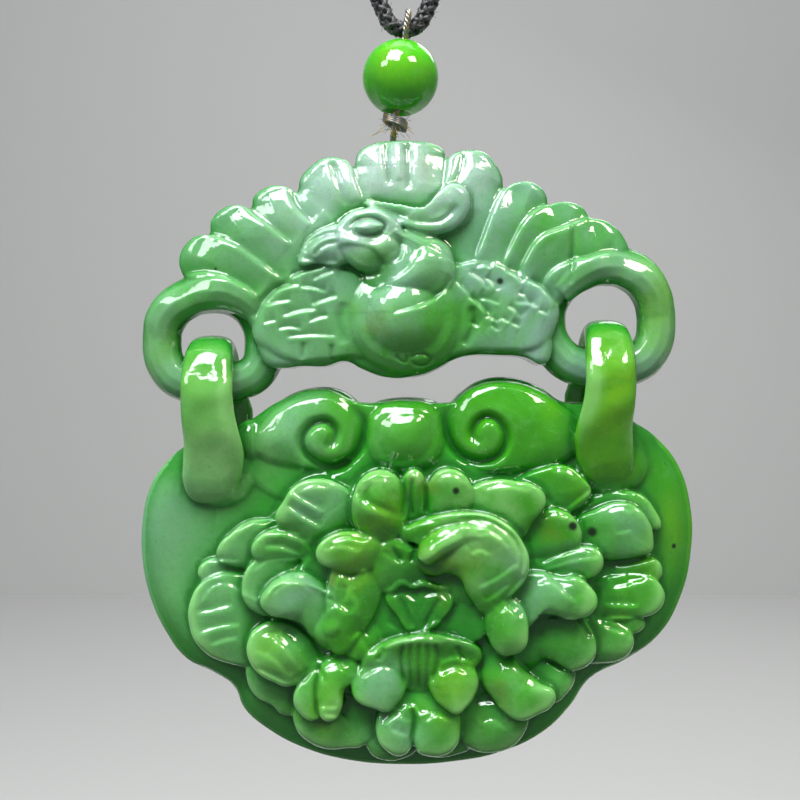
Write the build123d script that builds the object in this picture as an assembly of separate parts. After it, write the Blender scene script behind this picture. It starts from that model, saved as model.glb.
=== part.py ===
"""A two-part carved jade pendant that hangs from a whole loop of neck cord.

Millimetres, +Z up, the carved front faces -Y. The origin is at the inside top of the cord loop.
Relief is the distance toward the viewer from the plane of the hinge, so a relief is minus a Y value.
"""
import os
from math import atan2, cos, degrees, radians, sin, sqrt

from build123d import *

# Sizes of the neck cord and of the sleeve that joins its ends
CORD_RADIUS = 1.0
NECK_RADIUS = 70.0
CORD_LEAN = 24.0
CORD_BEND = 2.1
JOIN_RADIUS = 1.8
JOIN_LENGTH = 10.0
FIT_GAP = 0.1

# Sizes of the bead and of the thread that runs through it
BEAD_RADIUS = 3.95
BEAD_BORE = 1.4
BEAD_HEIGHT = 2 * sqrt(BEAD_RADIUS**2 - BEAD_BORE**2)
BEAD_GAP = 0.35
THREAD_RADIUS = 0.35
THREAD_LEAN = 7.0
THREAD_APART = 0.9
THREAD_BEND = 0.6
THREAD_BORE = 0.65
THREAD_CLEAR = 0.3
THREAD_BEHIND = 1.25
ENTRY_AHEAD = 0.27
WRAP_DROP = 1.1
WRAP_RADIUS = 1.35
WRAP_HEIGHT = 1.0
WRAP_TILT = 16.0

# Sizes of the two plaques and how far below the bead's top they hang
UPPER_WIDTH = 54.5
LOWER_WIDTH = 58.0
TOP_DROP = 10.1
BREAST_DROP = TOP_DROP + 0.358 * UPPER_WIDTH
HINGE_DROP = BREAST_DROP + 0.094 * UPPER_WIDTH
HEART_DROP = HINGE_DROP + 0.407 * LOWER_WIDTH
HEART_ACROSS = 0.018 * LOWER_WIDTH
UPPER_BACK = -1.9
UPPER_FACE = 0.9
LOWER_BACK = -3.2
LOWER_FACE = 1.1
ROOT_DEPTH = 0.8
FEATHER_RISE = 4.3
FLOWER_RISE = 5.8
EDGE_ROUND = 1.0
NOTCH_ROUND = 1.4

# Form of a petal, in shares of its half width or its length
PETAL_ROOT = 0.55
PETAL_WAIST = 0.95
PETAL_WAIST_AT = 0.4
LOBE_FULLNESS = 1.08
CROWN_REACH = 0.95
CROWN_STRETCH = 0.8
CROWN_INWARD = 0.22

# Sizes of the side rings and of the links that hang in them
WIRE_RADIUS = 2.05
RING_CORNER = 2.65
HINGE_CLIMB = 1.6
LINK_SLACK = 0.55
LINK_THICK = 2.25
LINK_ROUND = 0.8
SLOT_DROP = 2.15 * WIRE_RADIUS


def placed(face, relief):
    """Lays a flat face in the plane of the plaques at a relief."""
    return Plane.XZ.offset(relief) * face


def prism(face, back, front):
    """Solid with the outline of a face, from one relief to another."""
    return extrude(placed(face, back), amount=front - back, dir=(0, -1, 0))


def ball(across, relief, up, radius):
    """Sphere whose centre is given as across, relief and up."""
    return Pos(across, -relief, up) * Sphere(radius)


def tube(path, radius):
    """Round rod along a path."""
    section = Plane(origin=path @ 0, z_dir=path % 0) * Circle(radius)
    return sweep(section, path=path)


def arc_edges(start, rows, unit):
    """Chain of arcs; each row gives the middle and the end of an arc in shares of the unit."""
    here = (start[0] * unit, start[1] * unit)
    edges = []
    for mid_across, mid_up, end_across, end_up in rows:
        there = (end_across * unit, end_up * unit)
        edges.append(ThreePointArc(here, (mid_across * unit, mid_up * unit), there))
        here = there
    return edges


def arc_face(start, rows, unit):
    """Face bounded by a closed chain of arcs."""
    return Face(Wire(arc_edges(start, rows, unit)))


def petal_face(length, width, lobes):
    """Outline of a petal that points along +X, with the centre of its rounded tip at the origin."""
    half = width / 2
    root = PETAL_ROOT * half
    waist = PETAL_WAIST * half
    waist_at = -PETAL_WAIST_AT * length
    corners = []
    for step in range(lobes + 1):
        turn = radians(-90 + 180 * step / lobes)
        corners.append((half * cos(turn), half * sin(turn)))
    edges = [ThreePointArc((-length, -root), (waist_at, -waist), corners[0])]
    crown = half if lobes == 1 else LOBE_FULLNESS * half
    for step in range(lobes):
        turn = radians(-90 + 180 * (step + 0.5) / lobes)
        middle = (crown * cos(turn), crown * sin(turn))
        edges.append(ThreePointArc(corners[step], middle, corners[step + 1]))
    edges.append(ThreePointArc(corners[-1], (waist_at, waist), (-length, root)))
    edges.append(Line((-length, root), (-length, -root)))
    return Face(Wire(edges))


def petal(row, unit, back, face, lift):
    """Petal or feather: its outline raised from the back, under a domed top that sinks toward the tip."""
    across, up, heading, length, width, lobes, rise = row
    long_side = length * unit
    wide_side = width * unit
    top = face + rise * lift
    crown_radius = CROWN_REACH * max(wide_side, CROWN_STRETCH * long_side)
    inward = CROWN_INWARD * long_side
    outline = Pos(across * unit, up * unit) * Rot(0, 0, heading) * petal_face(long_side, wide_side, lobes)
    dome = ball(
        across * unit - inward * cos(radians(heading)),
        top - crown_radius,
        up * unit - inward * sin(radians(heading)),
        crown_radius,
    )
    return prism(outline, back, top) & dome


# Cord: an arc round the neck, a straight run down each side and a small bend at the bead
def cord_heights():
    """Heights of the neck arc's centre and of the lowest point of the cord's centre line."""
    centre = JOIN_RADIUS - NECK_RADIUS
    tip = centre - NECK_RADIUS / sin(radians(CORD_LEAN))
    return centre, tip + CORD_BEND * (1 / sin(radians(CORD_LEAN)) - 1)


def cord_path(side):
    """One half of the cord's centre line, from the top of the loop to its lowest point."""
    lean = radians(CORD_LEAN)
    centre, apex = cord_heights()
    bend = apex + CORD_BEND
    shoulder = (90 - CORD_LEAN) / 2
    knee = (90 + CORD_LEAN) / 2
    middle = Vector(side * NECK_RADIUS * cos(radians(shoulder)), 0, centre + NECK_RADIUS * sin(radians(shoulder)))
    high = Vector(side * NECK_RADIUS * cos(lean), 0, centre - NECK_RADIUS * sin(lean))
    low = Vector(side * CORD_BEND * cos(lean), 0, bend - CORD_BEND * sin(lean))
    turn = Vector(side * CORD_BEND * cos(radians(knee)), 0, bend - CORD_BEND * sin(radians(knee)))
    return [
        ThreePointArc((0, 0, centre + NECK_RADIUS), middle, high),
        Line(high, low),
        ThreePointArc(low, turn, (0, 0, apex)),
    ]


def make_cord():
    """The whole loop, one half at a time."""
    halves = [tube(Wire(cord_path(side)), CORD_RADIUS) for side in (-1, 1)]
    return halves[0] + halves[1]


def make_join():
    """Plain sleeve round the top of the loop."""
    centre = cord_heights()[0]
    half_turn = JOIN_LENGTH / 2 / NECK_RADIUS
    end = Vector(NECK_RADIUS * sin(half_turn), 0, centre + NECK_RADIUS * cos(half_turn))
    start = Vector(-end.X, 0, end.Z)
    path = ThreePointArc(start, (0, 0, centre + NECK_RADIUS), end)
    return tube(path, JOIN_RADIUS) - tube(path, CORD_RADIUS + FIT_GAP)


BEAD_TOP = cord_heights()[1] - CORD_RADIUS - BEAD_GAP
HINGE = BEAD_TOP - HINGE_DROP


def thread_plane():
    """Plane of the thread: its first axis runs to the back, its second up along the leaning bead."""
    lean = radians(THREAD_LEAN)
    return Plane(origin=(0, 0, BEAD_TOP), x_dir=(0, 1, 0), z_dir=(cos(lean), 0, -sin(lean)))


def thread_ends():
    """Where the thread enters the plaque's top edge, and where it comes out behind at half a right angle."""
    entry = Vector(-ENTRY_AHEAD, THREAD_RADIUS - TOP_DROP)
    reach = ENTRY_AHEAD + THREAD_BEHIND - UPPER_BACK
    return entry, entry + Vector(reach, -reach)


def thread_corners():
    """Corners of the thread loop: round the cord, down the bead, through the plaque and up behind it."""
    side = CORD_RADIUS + THREAD_RADIUS + THREAD_CLEAR
    over = 2 * CORD_RADIUS + BEAD_GAP + THREAD_RADIUS + THREAD_CLEAR
    under = -BEAD_HEIGHT - WRAP_DROP
    entry, out = thread_ends()
    return [
        (-THREAD_APART, FIT_GAP),
        (-side, CORD_RADIUS),
        (-side, over),
        (side, over),
        (side, CORD_RADIUS),
        (THREAD_APART, FIT_GAP),
        (THREAD_APART, under),
        (out.X, under - WRAP_RADIUS),
        out,
        entry,
        (-THREAD_APART, under),
    ]


def make_thread():
    """The closed loop of thread with the short knot that is wound round it under the bead."""
    plane = thread_plane()
    loop = FilletPolyline(*thread_corners(), radius=THREAD_BEND, close=True)
    strand = tube(plane * Wire(loop.edges()), THREAD_RADIUS)
    turns = Cylinder(WRAP_RADIUS, WRAP_HEIGHT)
    turns = fillet(turns.edges().filter_by(GeomType.CIRCLE), WRAP_HEIGHT / 4)
    height = -BEAD_HEIGHT - FIT_GAP - WRAP_RADIUS * sin(radians(WRAP_TILT)) - WRAP_HEIGHT / 2
    return strand + plane.location * Pos(0, height) * Rot(90, 0, 0) * Rot(0, WRAP_TILT, 0) * turns


def thread_bore():
    """The bore that takes the thread from the top edge of the upper plaque to its back."""
    entry, out = thread_ends()
    above = entry + (entry - out).normalized() * THREAD_BORE
    return tube(thread_plane() * Line(above, out), THREAD_BORE)


def make_bead():
    """Round bead with a bore along the leaning thread."""
    bead = Sphere(BEAD_RADIUS) - Cylinder(BEAD_BORE, 2 * BEAD_RADIUS)
    return thread_plane().location * Pos(0, -BEAD_HEIGHT / 2) * Rot(90, 0, 0) * bead


# Outline of the ground of the upper plaque, in shares of its width from the breast
UPPER_START = (-0.296, -0.096)
UPPER_OUTLINE = [
    # mid across, mid up, end across, end up
    (-0.200, -0.082, -0.109, -0.072),
    (0.010, -0.097, 0.120, -0.061),
    (0.220, -0.060, 0.319, -0.101),
    (0.285, 0.000, 0.296, 0.162),
    (0.000, 0.278, -0.286, 0.150),
    (-0.300, 0.020, -0.296, -0.096),
]

# Feathers of the fan from the sides to the middle, then the two wings
FEATHERS = [
    # across, up, heading, length, width, lobes, rise
    (-0.376, 0.096, 160, 0.20, 0.125, 1, 0.26),
    (-0.328, 0.149, 148, 0.22, 0.125, 1, 0.32),
    (-0.250, 0.200, 137, 0.22, 0.110, 1, 0.36),
    (-0.156, 0.247, 122, 0.20, 0.120, 1, 0.40),
    (0.380, 0.140, 38, 0.20, 0.110, 1, 0.26),
    (0.311, 0.172, 50, 0.22, 0.110, 1, 0.32),
    (0.229, 0.216, 62, 0.22, 0.110, 1, 0.36),
    (0.136, 0.264, 76, 0.20, 0.120, 1, 0.40),
    (-0.006, 0.262, 90, 0.16, 0.180, 2, 0.50),
    (-0.215, -0.010, 186, 0.14, 0.150, 1, 0.50),
    (0.215, 0.020, 352, 0.15, 0.150, 1, 0.50),
]

# The bird: breast, neck, head, eye, hooked beak and the plume that curls behind the head
BREAST_AT = (0.000, 0.010)
BREAST_SIZE = 0.116
BREAST_RISE = 1.0
NECK_ROW = (-0.030, 0.150, 112, 0.16, 0.145, 1, 0.86)
HEAD_AT = (-0.070, 0.172)
HEAD_SIZE = 0.062
HEAD_RISE = 0.98
EYE_SIZE = 0.022
EYE_SINK = 0.06
ROUND_CROWN = 1.35
BEAK_START = (-0.100, 0.222)
BEAK_OUTLINE = [
    # mid across, mid up, end across, end up
    (-0.172, 0.196, -0.200, 0.118),
    (-0.168, 0.108, -0.132, 0.112),
    (-0.080, 0.098, -0.050, 0.120),
    (-0.060, 0.180, -0.100, 0.222),
]
BEAK_RISE = 0.74
PLUME_START = (-0.070, 0.232)
PLUME_ARCS = [
    # mid across, mid up, end across, end up
    (-0.012, 0.222, 0.036, 0.186),
    (0.086, 0.172, 0.112, 0.214),
    (0.114, 0.240, 0.098, 0.262),
]
PLUME_RADIUS = 0.017
PLUME_RISE = 0.66

# Rings of the upper plaque with the links that hang in them, in shares of the upper plaque's width
RINGS = [
    # across, half width of the hole, height of the hole, width of the link
    (-0.367, 0.061, 0.092, 0.098),
    (0.370, 0.067, 0.094, 0.095),
]
RING_SPAN = (RINGS[1][0] - RINGS[0][0]) * UPPER_WIDTH


def bar_height(across):
    """Height of the hinge line, which climbs to the right."""
    return HINGE + across * HINGE_CLIMB / RING_SPAN


def hinge_lean():
    """Slope of the hinge line in degrees."""
    return degrees(atan2(HINGE_CLIMB, RING_SPAN))


def ring_tube(row):
    """One side ring: a straight bar for the link, small lower corners and a round top."""
    across, half_hole, tall_hole, _ = [share * UPPER_WIDTH for share in row]
    half = half_hole + WIRE_RADIUS
    top = tall_hole + 2 * WIRE_RADIUS
    corner = RING_CORNER
    path = Wire([
        Line((corner - half, 0), (half - corner, 0)),
        RadiusArc((half - corner, 0), (half, corner), -corner),
        Line((half, corner), (half, top - half)),
        ThreePointArc((half, top - half), (0, top), (-half, top - half)),
        Line((-half, top - half), (-half, corner)),
        RadiusArc((-half, corner), (corner - half, 0), -corner),
    ])
    here = Pos(across, 0, bar_height(across)) * Rot(0, -hinge_lean(), 0) * Rot(90, 0, 0)
    return tube(here * path, WIRE_RADIUS)


def make_upper():
    """Bird plaque: ground, fan, bird and rings, with the bore for the thread."""
    unit = UPPER_WIDTH
    here = Pos(0, 0, BEAD_TOP - BREAST_DROP)
    ground = prism(arc_face(UPPER_START, UPPER_OUTLINE, unit), UPPER_BACK, UPPER_FACE)
    forms = [petal(row, unit, UPPER_BACK, UPPER_FACE, FEATHER_RISE) for row in FEATHERS]
    forms.append(petal(NECK_ROW, unit, UPPER_BACK, UPPER_FACE, FEATHER_RISE))
    for centre, size, rise in ((BREAST_AT, BREAST_SIZE, BREAST_RISE), (HEAD_AT, HEAD_SIZE, HEAD_RISE)):
        top = UPPER_FACE + rise * FEATHER_RISE
        crown = ROUND_CROWN * size * unit
        disc = Pos(centre[0] * unit, centre[1] * unit) * Circle(size * unit)
        forms.append(prism(disc, UPPER_BACK, top) & ball(centre[0] * unit, top - crown, centre[1] * unit, crown))
    eye_relief = UPPER_FACE + (HEAD_RISE - EYE_SINK) * FEATHER_RISE
    forms.append(ball(HEAD_AT[0] * unit, eye_relief, HEAD_AT[1] * unit, EYE_SIZE * unit))
    beak_top = UPPER_FACE + BEAK_RISE * FEATHER_RISE
    forms.append(prism(arc_face(BEAK_START, BEAK_OUTLINE, unit), UPPER_BACK, beak_top))
    plume_relief = UPPER_FACE + PLUME_RISE * FEATHER_RISE
    plume = placed(Wire(arc_edges(PLUME_START, PLUME_ARCS, unit)), plume_relief)
    forms.append(tube(plume, PLUME_RADIUS * unit))
    plaque = here * (ground + forms)
    plaque = plaque + [ring_tube(row) for row in RINGS]
    return plaque - thread_bore()


# Outline of the lower plaque, in shares of its width from the heart of the peony
LOWER_START = (-0.289, 0.314)
LOWER_OUTLINE = [
    # mid across, mid up, end across, end up
    (-0.190, 0.381, -0.086, 0.348),
    (-0.016, 0.362, 0.059, 0.351),
    (0.161, 0.398, 0.285, 0.341),
    (0.350, 0.345, 0.409, 0.315),
    (0.489, 0.204, 0.502, 0.060),
    (0.453, -0.066, 0.322, -0.138),
    (0.264, -0.208, 0.152, -0.283),
    (-0.043, -0.305, -0.213, -0.272),
    (-0.283, -0.225, -0.321, -0.156),
    (-0.432, -0.066, -0.487, 0.072),
    (-0.485, 0.185, -0.418, 0.276),
    (-0.357, 0.318, -0.289, 0.314),
]

# Petals of the peony from the rim inward
PETAL_FULLNESS = 1.1
PETALS = [
    # across, up, heading, length, width, lobes, rise
    (-0.346, 0.050, 175, 0.14, 0.075, 1, 0.24),
    (-0.287, 0.122, 155, 0.12, 0.075, 1, 0.22),
    (-0.251, -0.161, 213, 0.12, 0.090, 1, 0.18),
    (-0.152, -0.205, 243, 0.12, 0.130, 1, 0.24),
    (-0.032, -0.247, 262, 0.10, 0.080, 1, 0.16),
    (0.045, -0.238, 278, 0.10, 0.085, 1, 0.17),
    (0.143, -0.214, 300, 0.13, 0.120, 1, 0.26),
    (0.240, -0.158, 320, 0.12, 0.090, 1, 0.20),
    (0.364, -0.074, 342, 0.12, 0.085, 1, 0.19),
    (0.371, -0.032, 352, 0.12, 0.070, 1, 0.16),
    (0.371, 0.165, 30, 0.12, 0.070, 1, 0.17),
    (0.410, 0.054, 10, 0.13, 0.060, 1, 0.25),
    (0.263, 0.197, 45, 0.14, 0.100, 1, 0.27),
    (-0.314, 0.086, 166, 0.12, 0.090, 1, 0.31),
    (-0.350, -0.027, 186, 0.16, 0.140, 1, 0.32),
    (0.400, 0.007, 2, 0.13, 0.080, 1, 0.31),
    (0.376, 0.122, 14, 0.15, 0.105, 1, 0.36),
    (0.263, 0.125, 22, 0.12, 0.080, 1, 0.40),
    (0.263, -0.081, 340, 0.14, 0.115, 1, 0.40),
    (0.005, -0.220, 272, 0.12, 0.140, 2, 0.42),
    (-0.260, 0.090, 168, 0.14, 0.095, 1, 0.43),
    (-0.251, -0.093, 208, 0.13, 0.125, 1, 0.44),
    (-0.188, 0.170, 145, 0.14, 0.110, 1, 0.45),
    (0.188, -0.165, 310, 0.13, 0.100, 1, 0.46),
    (-0.174, -0.168, 238, 0.12, 0.100, 2, 0.50),
    (-0.009, 0.197, 95, 0.12, 0.060, 1, 0.47),
    (0.287, 0.068, 10, 0.13, 0.065, 1, 0.49),
    (0.059, 0.194, 78, 0.13, 0.090, 1, 0.53),
    (0.170, 0.170, 50, 0.14, 0.120, 1, 0.55),
    (-0.063, -0.158, 258, 0.12, 0.100, 1, 0.57),
    (0.066, -0.156, 285, 0.13, 0.090, 1, 0.59),
    (0.260, 0.004, 0, 0.14, 0.100, 1, 0.61),
    (-0.224, 0.002, 190, 0.12, 0.105, 2, 0.62),
    (-0.066, 0.184, 110, 0.10, 0.090, 1, 0.68),
    (0.167, -0.050, 330, 0.11, 0.075, 1, 0.69),
    (-0.143, -0.045, 210, 0.12, 0.120, 2, 0.71),
    (0.018, -0.099, 270, 0.08, 0.190, 3, 0.75),
    (-0.125, 0.093, 160, 0.12, 0.110, 1, 0.83),
]

# The hollow heart of the peony and the small petals in it
HEART_AT = (0.012, 0.004)
HEART_SIZE = 0.080
HEART_FLOOR = 0.45
HEART_PETALS = [
    # across, up, heading, length, width, lobes, rise
    (-0.026, 0.004, 200, 0.04, 0.060, 1, 0.60),
    (0.010, -0.022, 262, 0.04, 0.058, 1, 0.64),
    (0.050, 0.008, 330, 0.05, 0.060, 1, 0.60),
    (0.008, 0.034, 95, 0.04, 0.055, 1, 0.68),
]

# The thick petal that curls round the heart: its centre, middle radius, thickness and the turn of its ends
CURL_AT = (0.104, 0.062)
CURL_RADIUS = 0.070
CURL_THICK = 0.034
CURL_FROM = -62
CURL_TO = 168
CURL_RISE = 0.92

# Scrolls cut into the two side humps of the plate
SCROLLS = [
    # across, up, first radius, hand, radius of the raised round
    (-0.165, 0.285, 0.072, -1, 0.092),
    (0.134, 0.290, 0.066, 1, 0.092),
]
SCROLL_TURNS = 4
SCROLL_CROWN = 5.0
SCROLL_SHRINK = 0.74
SCROLL_RISE = 0.24
SCROLL_GROOVE = 0.42

# Side view of a link: depth toward the back and height, in shares of its outer radius
LINK_FRONT = [
    # depth, height
    (-0.96, -1.3),
    (-0.84, -2.2),
    (-0.62, -2.55),
    (-0.10, -2.6),
]
LINK_REAR = [
    # depth, height
    (0.62, -2.1),
    (1.00, -1.25),
]


def link(row):
    """Upright link: a round-topped strap over the bar, cut from the plate in front and behind."""
    across, _, _, width = [share * UPPER_WIDTH for share in row]
    inner = WIRE_RADIUS + LINK_SLACK
    outer = inner + LINK_THICK
    front = [(depth * outer, height * outer) for depth, height in LINK_FRONT]
    rear = [(depth * outer, height * outer) for depth, height in LINK_REAR]
    corners = [(-outer, 0), *front, *rear, (outer, 0)]
    sides = [Line(first, second) for first, second in zip(corners, corners[1:])]
    outside = Face(Wire([*sides, ThreePointArc((outer, 0), (0, outer), (-outer, 0))]))
    strap = extrude(Plane.YZ.offset(-width / 2) * outside, amount=width)
    edges = [edge for edge in strap.edges() if abs(abs(edge.center().X) - width / 2) < FIT_GAP]
    strap = fillet(edges, LINK_ROUND)
    floor = -SLOT_DROP
    hole = Face(Wire([
        Line((-inner, 0), (-inner, floor)),
        Line((-inner, floor), (inner, floor)),
        Line((inner, floor), (inner, 0)),
        ThreePointArc((inner, 0), (0, inner), (-inner, 0)),
    ]))
    strap = strap - extrude(Plane.YZ.offset(-width) * hole, amount=2 * width)
    return Pos(across, 0, bar_height(across)) * Rot(0, -hinge_lean(), 0) * strap


def scroll_cut(row, unit):
    """Groove that winds inward by half turns."""
    across, up, radius, hand, _ = row
    centre = across * unit
    height = up * unit
    size = radius * unit
    edges = []
    side = hand
    for _ in range(SCROLL_TURNS):
        start = (centre + side * size, height)
        following = size * SCROLL_SHRINK
        end = (centre - side * size, height)
        top = height + size * (1 if side == hand else -1)
        edges.append(ThreePointArc(start, (centre, top), end))
        centre = end[0] + side * following
        size = following
        side = -side
    relief = LOWER_FACE + SCROLL_RISE * FLOWER_RISE
    return tube(placed(Wire(edges), relief), SCROLL_GROOVE)


def make_curl(unit):
    """Thick rolled petal: a bent round bar with a wall under it."""
    across = CURL_AT[0] * unit
    up = CURL_AT[1] * unit
    radius = CURL_RADIUS * unit
    thick = CURL_THICK * unit
    relief = LOWER_FACE + CURL_RISE * FLOWER_RISE - thick
    turns = [radians(CURL_FROM + share * (CURL_TO - CURL_FROM)) for share in (0, 0.5, 1)]
    points = [(across + radius * cos(turn), up + radius * sin(turn)) for turn in turns]
    path = ThreePointArc(*points)
    forms = [tube(placed(path, relief), thick)]
    for point in (points[0], points[2]):
        forms.append(ball(point[0], relief, point[1], thick))
        forms.append(prism(Pos(*point) * Circle(thick), LOWER_FACE - ROOT_DEPTH, relief))
    band = []
    for size in (radius + thick, radius - thick):
        band.append(ThreePointArc(*[(across + size * cos(turn), up + size * sin(turn)) for turn in turns]))
    ends = [Line(band[0] @ 1, band[1] @ 1), Line(band[1] @ 0, band[0] @ 0)]
    forms.append(prism(Face(Wire([band[0], ends[0], band[1], ends[1]])), LOWER_FACE - ROOT_DEPTH, relief))
    return forms


def make_lower():
    """Peony plaque: plate, scrolls, petals, heart and the two links."""
    unit = LOWER_WIDTH
    foot = LOWER_FACE - ROOT_DEPTH
    here = Pos(HEART_ACROSS, 0, BEAD_TOP - HEART_DROP)
    outline = arc_face(LOWER_START, LOWER_OUTLINE, unit)
    outline = fillet(outline.vertices(), NOTCH_ROUND)
    plate = prism(outline, LOWER_BACK, LOWER_FACE)
    rims = [edge for edge in plate.edges() if abs(edge.tangent_at(0.5).Y) < 0.5]
    plate = fillet(rims, EDGE_ROUND)
    forms = []
    for across, up, _, _, size in SCROLLS:
        top = LOWER_FACE + SCROLL_RISE * FLOWER_RISE
        crown = SCROLL_CROWN * size * unit
        disc = Pos(across * unit, up * unit) * Circle(size * unit)
        forms.append(prism(disc, foot, top) & ball(across * unit, top - crown, up * unit, crown))
    for across, up, heading, length, width, lobes, rise in PETALS:
        row = (across, up, heading, length * PETAL_FULLNESS, width * PETAL_FULLNESS, lobes, rise)
        forms.append(petal(row, unit, foot, LOWER_FACE, FLOWER_RISE))
    flower = plate + forms
    floor = LOWER_FACE + HEART_FLOOR * FLOWER_RISE
    bowl = ball(HEART_AT[0] * unit, floor + HEART_SIZE * unit, HEART_AT[1] * unit, HEART_SIZE * unit)
    flower = flower - bowl
    late = [petal(row, unit, foot, LOWER_FACE, FLOWER_RISE) for row in HEART_PETALS]
    flower = flower + (late + make_curl(unit))
    for row in SCROLLS:
        flower = flower - scroll_cut(row, unit)
    return here * flower + [link(row) for row in RINGS]


PIECES = {
    "upper_plaque": make_upper,
    "lower_plaque": make_lower,
    "bead": make_bead,
    "thread_loop": make_thread,
    "neck_cord": make_cord,
    "cord_join": make_join,
}

os.makedirs("parts", exist_ok=True)
for name, make in PIECES.items():
    piece = make()
    export_step(piece, f"parts/{name}.step")
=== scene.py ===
import math
import random

import bpy
import numpy as np
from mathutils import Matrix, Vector


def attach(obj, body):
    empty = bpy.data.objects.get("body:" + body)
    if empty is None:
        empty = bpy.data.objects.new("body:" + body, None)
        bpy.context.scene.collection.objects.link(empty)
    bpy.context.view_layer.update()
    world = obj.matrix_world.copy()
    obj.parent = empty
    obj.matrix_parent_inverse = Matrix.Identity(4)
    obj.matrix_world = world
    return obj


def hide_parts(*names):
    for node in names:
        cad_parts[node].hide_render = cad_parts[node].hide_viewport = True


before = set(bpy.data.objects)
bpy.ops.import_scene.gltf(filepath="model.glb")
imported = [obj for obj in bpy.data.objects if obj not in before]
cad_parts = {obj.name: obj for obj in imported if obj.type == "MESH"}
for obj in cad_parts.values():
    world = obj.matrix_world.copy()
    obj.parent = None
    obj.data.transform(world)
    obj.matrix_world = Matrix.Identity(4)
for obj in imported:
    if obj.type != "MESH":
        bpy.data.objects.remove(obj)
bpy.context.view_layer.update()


# Upper plaque: a bird in front of its fanned tail, carved from one slab of pale green jade.
# The fan, the bird and the two side rings are cut from the same stone, then the fine plumage is
# engraved and everything is polished. A small bore from the top edge to the back takes the thread.

# Everything is modelled in millimetres round the frame's origin and made metres at the end.
MM = 0.001

# The eye of the camera, what one pixel of the picture covers on the hinge plane, and its middle pixel
EYE = Vector((-0.5, -125.0, -275.8))
PIXEL = 0.10417
MIDDLE = 400


def spot(across, down, relief=0.0):
    """The point that shows at a pixel of the picture, at a height above the hinge plane."""
    reach = PIXEL * (1 + relief / EYE.y)
    return Vector((EYE.x + (across - MIDDLE) * reach, -relief, EYE.z - (down - MIDDLE) * reach))


def add(name, data):
    """A new object in the scene."""
    piece = bpy.data.objects.new(name, data)
    bpy.context.scene.collection.objects.link(piece)
    return piece


def take(piece):
    """Makes one object the only selected and the active one."""
    bpy.ops.object.select_all(action="DESELECT")
    piece.select_set(True)
    bpy.context.view_layer.objects.active = piece
    return piece


def join(parts):
    """Makes one object of several."""
    take(parts[0])
    for part in parts:
        part.select_set(True)
    bpy.ops.object.join()
    return bpy.context.active_object


def rename(piece, name):
    """Gives an object and its mesh the same name."""
    piece.name = name
    piece.data.name = name


def in_metres(piece):
    """Makes the millimetres of the active object metres, and shades it as a rounded surface."""
    piece.scale = (MM, MM, MM)
    bpy.ops.object.transform_apply(scale=True)
    bpy.ops.object.shade_smooth()


def smooth_curve(places, closed, resolution):
    """A curve that runs smoothly through places."""
    curve = bpy.data.curves.new("smooth", "CURVE")
    curve.dimensions = "3D"
    spline = curve.splines.new("BEZIER")
    spline.bezier_points.add(len(places) - 1)
    for point, place in zip(spline.bezier_points, places):
        point.co = place
        point.handle_left_type = "AUTO"
        point.handle_right_type = "AUTO"
    spline.use_cyclic_u = closed
    spline.resolution_u = resolution
    return curve


def meshed(name, curve):
    """The mesh of a curve, as the active object."""
    take(add(name, curve))
    bpy.ops.object.convert(target="MESH")
    return bpy.context.active_object


def raise_skin(climb, size, following, centre):
    """Draws the selected face toward the viewer and makes it smaller round the centre of its form."""
    bpy.ops.mesh.extrude_region_move(TRANSFORM_OT_translate={"value": (0, -climb, 0)})
    bpy.ops.transform.resize(value=(following / size, 1, following / size), center_override=centre)
    return following


# How a carved rim turns over: share of the rim drawn in, share of the rim climbed
RIM_STEPS = [
    (0.06, 0.35),
    (0.24, 0.33),
    (0.34, 0.22),
    (0.36, 0.10),
]

# Sizes of the rings of a domed top, as shares of the rim that it rises from
DOME_STEPS = [0.90, 0.80, 0.70, 0.60, 0.50, 0.40, 0.30, 0.20, 0.10]

# The foot of a form is flat to this many millimetres
FOOT_SLACK = 0.001


def carve(outline, relief, rim=0.9, swell=0.5, foot=0.0, lean=(0.0, 0.0)):
    """A carved form on a given outline: upright walls, a rounded rim and a domed top that may lean."""
    places = []
    for corner in outline:
        seen = spot(*corner, relief)
        places.append((seen.x, -foot, seen.z))
    form = meshed("form", smooth_curve(places, closed=True, resolution=5))
    corners = [vertex.co.copy() for vertex in form.data.vertices]
    centre = sum(corners, Vector()) / len(corners)
    reach = sum((corner - centre).length for corner in corners) / len(corners)
    bpy.ops.object.mode_set(mode="EDIT")
    bpy.ops.mesh.select_all(action="SELECT")
    bpy.ops.mesh.edge_face_add()
    bpy.ops.mesh.extrude_region_move(TRANSFORM_OT_translate={"value": (0, foot + rim - relief, 0)})
    size = 1.0
    for inward, climb in RIM_STEPS:
        size = raise_skin(climb * rim, size, size - inward * rim / reach, centre)
    edge = size
    for share in DOME_STEPS:
        size = raise_skin(swell * ((size / edge) ** 2 - share ** 2), size, edge * share, centre)
    bpy.ops.mesh.merge(type="CENTER")
    bpy.ops.object.mode_set(mode="OBJECT")
    for vertex in form.data.vertices:
        if vertex.co.y < -foot - FOOT_SLACK:
            vertex.co.y -= lean[0] * (vertex.co.x - centre.x) + lean[1] * (vertex.co.z - centre.z)
    return form


def roll(route, closed=False):
    """A round bar along a given line: rows of a pixel, the height of the middle and the thickness."""
    curve = smooth_curve([spot(*row[:3]) for row in route], closed, resolution=8)
    curve.bevel_depth = 1.0
    curve.bevel_resolution = 4
    curve.use_fill_caps = True
    for point, row in zip(curve.splines[0].bezier_points, route):
        point.radius = row[3]
    return meshed("roll", curve)


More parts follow.
